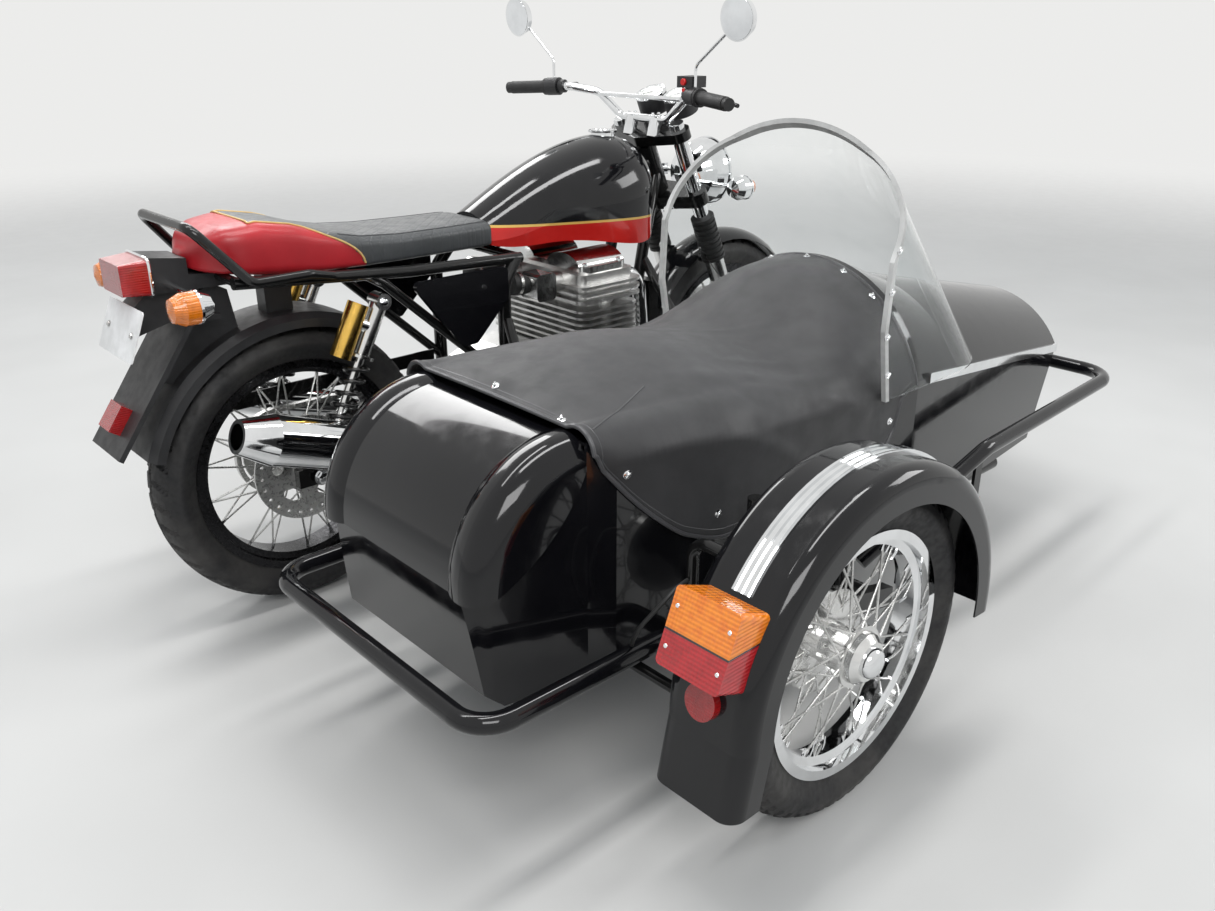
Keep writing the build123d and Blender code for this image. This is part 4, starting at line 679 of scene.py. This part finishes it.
# Folds that stand on the cover: height, half width and the points they run through
FOLDS = (
    (5, 20, ((250, -900, 690), (400, -935, 655), (560, -985, 628), (735, -1027, 590))),
    (4, 13, ((330, -930, 672), (460, -990, 640), (600, -1026, 590), (690, -1029, 540))),
    (5, 16, ((40, -1002, 610), (226, -1026, 612), (390, -1028, 560), (520, -1029, 480))),
    (3, 10, ((420, -880, 672), (560, -930, 648), (700, -985, 655))),
    (3, 12, ((330, -580, 668), (500, -590, 640), (660, -560, 650), (790, -530, 655))),
    (2, 9, ((470, -700, 690), (560, -760, 672), (650, -840, 690))),
)


def smooth_at(table, x):
    """Values at x from a table of rows that start with x, on a curve that keeps within the rows."""
    i = max(k for k in range(len(table) - 1) if k == 0 or table[k][0] <= x)
    low, high = table[i], table[i + 1]
    span = high[0] - low[0]
    t = min(1.0, max(0.0, (x - low[0]) / span))

    def slope(k, column):
        if k in (0, len(table) - 1):
            return 0.0
        before = (table[k][column] - table[k - 1][column]) / (table[k][0] - table[k - 1][0])
        after = (table[k + 1][column] - table[k][column]) / (table[k + 1][0] - table[k][0])
        return 0.0 if before * after <= 0 else 2 * before * after / (before + after)

    out = []
    for column in range(1, len(low)):
        first, last = slope(i, column) * span, slope(i + 1, column) * span
        ends = (2 * t ** 3 - 3 * t * t + 1) * low[column] + (3 * t * t - 2 * t ** 3) * high[column]
        out.append(ends + (t ** 3 - 2 * t * t + t) * first + (t ** 3 - t * t) * last)
    return out


def bow(a, b, rise, count):
    """Points of a round arc between two (y, z) points."""
    dy, dz = b[0] - a[0], b[1] - a[1]
    chord = math.hypot(dy, dz)
    radius = (chord * chord / 4 + rise * rise) / (2 * rise)
    half = math.asin(min(1.0, chord / 2 / radius))
    out = []
    for k in range(count + 1):
        turn = -half + 2 * half * k / count
        along = (chord / 2 + radius * math.sin(turn)) / chord
        up = (radius * math.cos(turn) - radius + rise) / chord
        out.append((a[0] + dy * along - dz * up, a[1] + dz * along + dy * up))
    return out


def cover_section(x, lift):
    """Even points across the cover at x, from the right hem to the left one."""
    half, side, corner_half, corner, bulge, top = smooth_at(HOOD, x)
    right, left = smooth_at(RIGHT_HEM, x)[0], smooth_at(LEFT_HEM, x)[0]
    half, corner = half + lift, corner + lift
    foot, step = 380, 4
    drop = int((side - foot) / step)
    line = [(-half, foot + k * step) for k in range(drop)]
    line += bow((-half, side), (-corner_half, corner), bulge, 14)
    line += bow((-corner_half, corner), (corner_half, corner), top + lift - corner, 40)[1:]
    line += bow((corner_half, corner), (half, side), bulge, 14)[1:]
    line += [(half, side - k * step) for k in range(1, drop)]
    low = next(i for i, p in enumerate(line) if p[1] >= right)
    high = max(i for i, p in enumerate(line) if p[1] >= left)

    def hem(inner, outer, z):
        share = (z - outer[1]) / (inner[1] - outer[1])
        return (outer[0] + (inner[0] - outer[0]) * share, z)

    ends = hem(line[low], line[low - 1], right), hem(line[high], line[high + 1], left)
    keep = [ends[0]] + line[low:high + 1] + [ends[1]]
    return [Vector((x, CAR_Y + y, z)) for y, z in even_points(keep, ACROSS)]


def fold_height(point, folds):
    """How far the folds lift the cover at a point."""
    total = 0.0
    for height, width, line in folds:
        nearest, share = min(((point - p).length, k / (len(line) - 1)) for k, p in enumerate(line))
        if nearest < 3 * width:
            total += height * math.sin(math.pi * (0.12 + 0.76 * share)) * math.exp(-(nearest / width) ** 2)
    return total


def cover_rows(lift):
    """The cover's points, row after row from its back edge forward."""
    length = COVER_FRONT - COVER_BACK
    rows = [cover_section(COVER_BACK + length * i / STATIONS, lift) for i in range(STATIONS + 1)]
    folds = [(height, width, curve_through(line, 14)) for height, width, line in FOLDS]
    out = []
    for i, row in enumerate(rows):
        line = []
        for k, p in enumerate(row):
            ahead = rows[min(i + 1, STATIONS)][k] - rows[max(i - 1, 0)][k]
            side = row[min(k + 1, ACROSS)] - row[max(k - 1, 0)]
            line.append(p + ahead.cross(side).normalized() * fold_height(p, folds))
        out.append(line)
    return out


def stud(sketch, point, outward):
    """A turn button: a round base and a short raised bar."""
    outward = Vector(outward).normalized()
    outline = [(0, 0), (0, 7.5), (1.2, 7.5), (2.2, 5.6), (2.6, 3.2), (4.6, 3.0), (5.6, 2.2), (6.0, 0)]
    sketch.turned(point, outward, outline, 20)
    bar = outward.orthogonal().normalized() * 5.2
    middle = Vector(point) + outward * 4.6
    sketch.tube([middle - bar, middle + bar], 1.7, 8)


def border(rows, deep, wide):
    """The ring of the cover's points that runs so many rows and columns inside its edge."""
    inner = [row[wide:len(row) - wide] for row in rows[deep:len(rows) - deep]]
    return inner[0] + [row[-1] for row in inner[1:]] + inner[-1][-2::-1] + [row[0] for row in inner[-2:0:-1]]


def station(x):
    """The row of the cover at x, as a number with its fraction."""
    return (x - COVER_BACK) / (COVER_FRONT - COVER_BACK) * STATIONS


def above_cover(rows, x, y, lift):
    """The point so far above the cover's right half at x and y."""
    along = station(x)
    i = int(along)
    row = [p.lerp(q, along - i) for p, q in zip(rows[i], rows[i + 1])]
    k = next(k for k in range(ACROSS // 2) if row[k + 1].y >= y and row[k + 1].z > row[k].z - 4)
    share = min(1.0, max(0.0, (y - row[k].y) / max(1e-6, row[k + 1].y - row[k].y)))
    outward = (rows[i + 1][k] - rows[i][k]).cross(row[k + 1] - row[k]).normalized()
    return row[k].lerp(row[k + 1], share) + outward * lift


def tonneau():
    rows = cover_rows(3.0)
    obj = Sketch().grid(rows).make("tonneau_cover", "cover", "chassis", 180)
    skin = obj.modifiers.new("thickness", "SOLIDIFY")
    skin.thickness = 0.0015
    skin.offset = 0
    hem = Sketch().tube(border(rows, 0, 0), 4.0, 8, closed=True).tube(border(rows, 3, 2), 1.3, 6, closed=True)
    hem = hem.make("tonneau_hem", "hem")
    (x, y), end = COVER_SEAM
    run = [above_cover(rows, x + (end[0] - x) * k / 32, y + (end[1] - y) * k / 32, 0.9) for k in range(33)]
    seam = Sketch().tube(run, 1.5, 8).make("tonneau_seam", "hem")
    buttons = Sketch()
    for x, k in EDGE_BUTTONS:
        i = round(station(x))
        row, ahead = rows[i], rows[i + 1]
        stud(buttons, row[k], (ahead[k] - row[k]).cross(row[k + 1] - row[k]))
    behind, row = rows[-5:-3]
    for k in FRONT_BUTTONS:
        stud(buttons, row[k], (row[k] - behind[k]).cross(row[k + 1] - row[k]))
    studs = buttons.make("tonneau_studs", "chrome")
    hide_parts("tonneau")


def lamp_lead():
    """The sidecar lamp's lead, a cord of 7 mm from the mudguard's bracket to the bumper."""
    corners = [
        (99.5, -1120, 440), (74, -1122, 437), (50, -1124, 428), (32, -1106, 396), (26, -1090, 370),
        (31, -1072, 340), (40, -1059, 319),
    ]
    path = curve_through(corners, 6)
    obj = Sketch().tube(path, 3.5, 12).make("lamp_lead", "rubber")
    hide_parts("lamp_wire")


# Small fittings, each on the body that carries it
def rounded_frame(centre, across, up, half_width, half_height, corner):
    """Points around a rounded rectangle."""
    across, up = Vector(across).normalized(), Vector(up).normalized()
    out = []
    for sx, sy, start in ((1, 1, 0), (-1, 1, 90), (-1, -1, 180), (1, -1, 270)):
        for k in range(5):
            a = math.radians(start + 22.5 * k)
            y = sx * (half_width - corner) + corner * math.cos(a)
            z = sy * (half_height - corner) + corner * math.sin(a)
            out.append(Vector(centre) + across * y + up * z)
    return out


def lamp_fittings():
    bezel = rounded_frame((-266, 0, 786), (0, 1, 0), (0, 0, 1), 57.5, 36.5, 12)
    Sketch().tube(bezel, 3.2, 8, closed=True).make("tail_lamp_bezel", "chrome")
    # the number plate and the sidecar's lamp lean back alike
    face = Vector((-0.93, 0, 0.37)).normalized()
    up = Vector((0.37, 0, 0.93)).normalized()
    plate = Sketch()
    for side in (1, -1):
        plate.bolt(Vector((-318, side * 60, 684)) + face * 2.2, face, 5, 4)
    plate.make("plate_bolts", "steel")
    centre = Vector((20, -1270, 440)) + face * 66
    screws = Sketch()
    for y in (48, -48):
        for rise in (30, -30):
            screws.stub(centre + Vector((0, y, 0)) + up * rise, face, 3.4, 1.6, 12)
    screws.make("lamp_screws", "chrome")
    rear, front = Sketch(), Sketch()
    rim = [(-2, 30.9), (-2, 32.4), (3, 32.4), (3, 30.9)]
    for side in (1, -1):
        rear.turned((-239, side * 192, 752), (-1, 0, 0), rim, 28)
        front.turned((1276, side * 200, 815), (1, 0, 0), rim, 28)
    rear.make("rear_indicator_rims", "chrome")
    front.make("front_indicator_rims", "chrome", "fork")


def headlamp_fittings():
    rim = [(99, 90.2), (99, 93), (104, 94), (108, 91), (109, 84), (104, 80)]
    Sketch().turned(LAMP, (1, 0, 0), rim, 48).make("headlamp_rim", "chrome", "fork")
    dome = [(105 + 13 * math.cos(a) ** 0.8, 81 * math.sin(a)) for a in (1.3, 1.05, 0.8, 0.5, 0.25)]
    glass = [(105, 82)] + dome + [(118, 0)]
    Sketch().turned(LAMP, (1, 0, 0), glass, 48).make("headlamp_glass", "lamp_glass", "fork")


def dials():
    """The two clocks' faces, with marks around three quarters of a turn and a hand."""
    tilt = math.radians(24)
    up = Vector((-math.sin(tilt), 0, math.cos(tilt)))
    ahead = Vector((math.cos(tilt), 0, math.sin(tilt)))
    left = Vector((0, 1, 0))
    cards, rims, marks, glasses = Sketch(), Sketch(), Sketch(), Sketch()
    for side in (1, -1):
        top = Vector((1184, side * 52, 1004)) + up * 50
        cards.stub(top, up, 37, 1.0, 40, 0.3)
        rims.turned(top, up, [(-3, 42), (-3, 43.6), (3, 43.6), (5, 41), (4, 37.5), (0.4, 37)], 48)
        glasses.turned(top, up, [(2.6, 37.4), (3.2, 30), (3.6, 18), (3.8, 0)], 40)
        for k in range(25):
            a = math.radians(-135 + 270 * k / 24)
            out = ahead * math.cos(a) + left * math.sin(a)
            inner = 27 if k % 4 == 0 else 30
            marks.tube([top + out * inner + up * 1.1, top + out * 33 + up * 1.1], 0.5, 6)
        hand = ahead * math.cos(2.2) + left * math.sin(2.2)
        marks.tube([top - hand * 6 + up * 1.7, top + hand * 24 + up * 1.7], 0.8, 6)
        marks.stub(top + up * 1.1, up, 3.2, 1.2, 16)
    cards.make("clock_cards", "dial", "fork")
    rims.make("clock_rims", "chrome", "fork")
    marks.make("clock_marks", "plastic", "fork")
    glasses.make("clock_glasses", "clear", "fork")


def fork_fittings():
    mirrors = Sketch()
    back = Vector((1, 0, 0.1)).normalized()
    for side in (1, -1):
        middle = Vector((985, side * 400, 1238)) - back * 0.2
        mirrors.turned(middle, -back, [(0, 46.5), (0.6, 46.2), (0.8, 0)], 48)
    mirrors.make("mirror_glasses", "mirror", "fork")
    switch = Sketch().stub((989.6, -236.9, 1096), (-1, 0, 0), 8, 5, 20, 1.2)
    switch.stub((989.6, -236.9, 1078), (-1, 0, 0), 5, 3, 16, 0.8).make("kill_switch", "red_part", "fork")
    nuts = Sketch()
    for side in (1, -1):
        nuts.bolt((FRONT_AXLE[0], side * 132, FRONT_AXLE[2]), (0, side, 0), 13, 12)
        for z in (362, 392):
            nuts.bolt((1308, 94.2, z), (0, 1, 0), 5.5, 5)
    nuts.make("front_axle_nuts", "chrome", "fork")
    clamps = Sketch()
    for side in (1, -1):
        for x in (1099, 1077):
            clamps.bolt((x, side * 45, 1004), (0.05, 0, 1), 4, 5)
    clamps.make("bar_clamp_bolts", "chrome", "fork")


def engine_fittings():
    rounds, bolts = Sketch(), Sketch()
    for side in (1, -1):
        for x, radius in ((820, 66), (670, 60)):
            outline = [
                (-4, radius + 4), (2, radius + 4), (5, radius), (5, radius - 9), (3, radius - 12),
                (5, radius - 22), (8, 12), (8.5, 0),
            ]
            rounds.turned((x, side * 210, 335), (0, side, 0), outline, 48)
            for k in range(6):
                a = math.radians(30 + 60 * k)
                place = (x + (radius - 4) * math.cos(a), side * 214, 335 + (radius - 4) * math.sin(a))
                bolts.stub(place, (0, side, 0), 3.6, 3, 12)
        for x in (745, 857):
            for y in (150, 40):
                bolts.bolt((x, side * y, 672.8), (0, 0, 1), 6, 6)
        rounds.turned((800, side * 84, 676), (0, 0, 1), [(-2, 20), (6, 20), (9, 17), (10, 0)], 32)
    rounds.make("cover_rounds", "alloy")
    bolts.make("engine_bolts", "chrome")
    clips = Sketch()
    for side in (1, -1):
        for x, z in ((668, 632), (584, 643)):
            clips.turned((x, side * 84, z), (-1, 0, 0.12), [(0, 27.2), (0, 29.4), (8, 29.4), (8, 27.2)], 32)
        flange = [(-4, 19.4), (-4, 27), (6, 27), (8, 22), (8, 19.4)]
        clips.turned((921, side * 84, 615), (1, 0, 0), flange, 32)
        run = Vector((-545, 0, 199)).normalized()
        nose = Vector((330, side * 228, 301))
        clips.turned(nose, run, [(2, 25.5), (2, 28.5), (14, 31.6), (14, 28.5)], 32)
    clips.make("hose_clips", "steel")


# The chain's pitch and middle plane, and where the front sprocket's cover begins to hide it
CHAIN_PITCH, CHAIN_Y, CHAIN_HIDDEN = 15.875, 79.5, 500


def chain_links():
    """Pin heads and plates on both faces of the chain, along its run around the sprockets."""
    rear, front, rear_r, front_r = (REAR_AXLE[0], REAR_AXLE[2]), (590, 350), 98, 52
    gap = math.dist(rear, front)
    lean = math.atan2(front[1] - rear[1], front[0] - rear[0])
    spread = math.acos((rear_r - front_r) / gap)
    path = []
    for k in range(41):
        a = lean + spread + (math.tau - 2 * spread) * k / 40
        path.append(Vector((rear[0] + rear_r * math.cos(a), 0, rear[1] + rear_r * math.sin(a))))
    for k in range(21):
        a = lean - spread + 2 * spread * k / 20
        path.append(Vector((front[0] + front_r * math.cos(a), 0, front[1] + front_r * math.sin(a))))
    path.append(path[0])
    length = sum(math.dist(p, q) for p, q in zip(path, path[1:]))
    count = round(length / CHAIN_PITCH / 2) * 2
    places = [Vector(p) for p in even_points(path, count)[:-1]]
    turns = [k * math.tau / 12 for k in range(12)]
    pins = Sketch()
    for k, place in enumerate(places):
        if place.x > CHAIN_HIDDEN:
            continue
        for side in (1, -1):
            face = CHAIN_Y + side * 7.1
            pins.stub(place + Vector((0, face, 0)), (0, side, 0), 2.6, 1.8, 8, 0.4)
            if k % 2 == 0:
                ahead = places[(k + 1) % count]
                middle = (place + ahead) / 2 + Vector((0, face, 0))
                along = (ahead - place).normalized()
                rise = Vector((-along.z, 0, along.x))
                rim = [middle + along * 11.5 * math.cos(a) + rise * 5.4 * math.sin(a) for a in turns]
                out = Vector((0, side * 1.2, 0))
                pins.grid([rim, [p + out for p in rim], [middle + out] * 12], closed_columns=True)
    pins.make("chain_links", "steel")


def car_fittings():
    screws = Sketch()
    for z, x in ((612, 731), (690, 716), (775, 717), (850, 728)):
        for side in (1, -1):
            stud(screws, (x - 5.5, CAR_Y + side * 297, z), (0, side, 0))
    screws.make("screen_buttons", "chrome")
    cap = [(0, 0), (0, 27), (4, 27), (12, 22), (15, 14), (16, 0)]
    Sketch().turned((314, -1325, 293), (0, -1, 0), cap, 40).make("hub_cap", "chrome", "sidecar_wheel_set")


def frame_fittings():
    nuts = Sketch()
    for side in (1, -1):
        nuts.bolt((REAR_AXLE[0], side * 128, REAR_AXLE[2]), (0, side, 0), 14, 12)
    for side in (1, -1):
        nuts.bolt((500, side * 155, 375), (0, side, 0), 14, 8)
    for side in (1, -1):
        for x, z in (DAMPER_TOP, DAMPER_FOOT):
            nuts.bolt((x, side * 162, z), (0, side, 0), 8, 6)
    nuts.make("frame_nuts", "chrome")
    edge = [(0, 34.4), (0, 36.5), (5, 37.5), (5, 34.4)]
    cap = Sketch().turned((940, 0, 967), (0, 0, 1), edge, 40).stub((940, 0, 971.5), (0, 0, 1), 20, 3, 32, 1.2)
    cap.turned((972, 0, 968), (0, 1, 0), [(-9, 0), (-9, 4), (9, 4), (9, 0)], 12)
    cap.make("fuel_cap_ring", "chrome")


# Studio: the world and the far floor have one colour, so that no line parts them, and the floor turns from
# its own colour to it between two distances
BACKDROP = (0.84, 0.84, 0.83, 1.0)
FLOOR_FADE = (2.5, 9.0)


def seen_rays(tree):
    """1 for rays that show the background straight, in a reflection or through glass, 0 for its light."""
    path = tree.nodes.new("ShaderNodeLightPath")
    value = path.outputs["Is Camera Ray"]
    for kind in ("Is Glossy Ray", "Is Transmission Ray"):
        either = tree.nodes.new("ShaderNodeMath")
        either.operation = "MAXIMUM"
        tree.links.new(value, either.inputs[0])
        tree.links.new(path.outputs[kind], either.inputs[1])
        value = either.outputs[0]
    return value


def backdrop():
    scene = bpy.context.scene
    scene.view_settings.view_transform = "Standard"
    scene.view_settings.look = "None"
    world = bpy.data.worlds.new("studio")
    scene.world = world
    world.use_nodes = True
    tree = world.node_tree
    tree.nodes.clear()
    out = tree.nodes.new("ShaderNodeOutputWorld")
    light, back = tree.nodes.new("ShaderNodeBackground"), tree.nodes.new("ShaderNodeBackground")
    light.inputs["Color"].default_value = (0.62, 0.66, 0.7, 1.0)
    light.inputs["Strength"].default_value = 0.7
    back.inputs["Color"].default_value = BACKDROP
    mix = tree.nodes.new("ShaderNodeMixShader")
    tree.links.new(seen_rays(tree), mix.inputs[0])
    tree.links.new(light.outputs[0], mix.inputs[1])
    tree.links.new(back.outputs[0], mix.inputs[2])
    tree.links.new(mix.outputs[0], out.inputs[0])


def studio_floor():
    data = bpy.data.meshes.new("floor")
    bm = bmesh.new()
    bmesh.ops.create_grid(bm, x_segments=60, y_segments=60, size=60.0)
    for v in bm.verts:
        v.co.z = -0.0005
    bm.to_mesh(data)
    bm.free()
    floor = bpy.data.objects.new("floor", data)
    bpy.context.scene.collection.objects.link(floor)
    s = Shader("studio_floor")
    parts = s.xyz()
    squares = [s.math("MULTIPLY", parts[k], parts[k]) for k in "XY"]
    reach = s.math("SQRT", s.math("ADD", *squares))
    tone = s.mix(s.span(s.noise(1.5, 5.0), 0.3, 0.75), (0.58, 0.575, 0.56, 1), (0.62, 0.615, 0.6, 1))
    far = s.span(reach, *FLOOR_FADE)
    s.set(Base_Color=s.mix(far, tone, (0.0, 0.0, 0.0, 1)))
    glow = s.math("MULTIPLY", far, seen_rays(s.tree))
    s.set(Emission_Color=BACKDROP, Emission_Strength=glow)
    s.set(Roughness=s.span(s.noise(12.0, 5.0), 0.3, 0.8, 0.6, 0.8))
    s.set(Specular_IOR_Level=s.span(reach, *FLOOR_FADE, 0.2, 0.0))
    data.materials.append(s.mat)


def lamps():
    for name, place, aim, size, power in (
        ("key", (-2.6, -3.4, 3.6), (0, 0, 0.5), (2.4, 1.6), 95),
        ("fill", (3.4, -2.6, 2.6), (0, 0, 0.5), (1.8, 1.2), 45),
        ("back", (0.5, 4.2, 3.4), (0, 0, 0.6), (3.2, 1.2), 80),
        ("top", (0.0, -0.4, 4.2), (0, -0.4, 0), (3.4, 0.5), 72),
        ("top_two", (-1.2, 0.9, 4.0), (-1.2, 0.9, 0), (3.0, 0.35), 42),
    ):
        lamp = bpy.data.lights.new(name, "AREA")
        lamp.shape = "RECTANGLE"
        lamp.size, lamp.size_y = size
        lamp.energy = power
        obj = bpy.data.objects.new(name, lamp)
        bpy.context.scene.collection.objects.link(obj)
        obj.location = place
        obj.rotation_euler = (Vector(aim) - Vector(place)).to_track_quat("-Z", "Y").to_euler()


camera()
backdrop()
studio_floor()
lamps()
dress_nodes()
zones()
tyres()
nipples("rear_nipples", "rear_wheel_set", REAR_AXLE, 212.6, 12, 9)
nipples("front_nipples", "front_wheel_set", FRONT_AXLE, 212.6, 10, 9)
nipples("sidecar_nipples", "sidecar_wheel_set", CAR_AXLE, 187.2, 10, 10)
saddle()
tonneau()
lamp_lead()
lamp_fittings()
headlamp_fittings()
dials()
fork_fittings()
engine_fittings()
chain_links()
car_fittings()
frame_fittings()
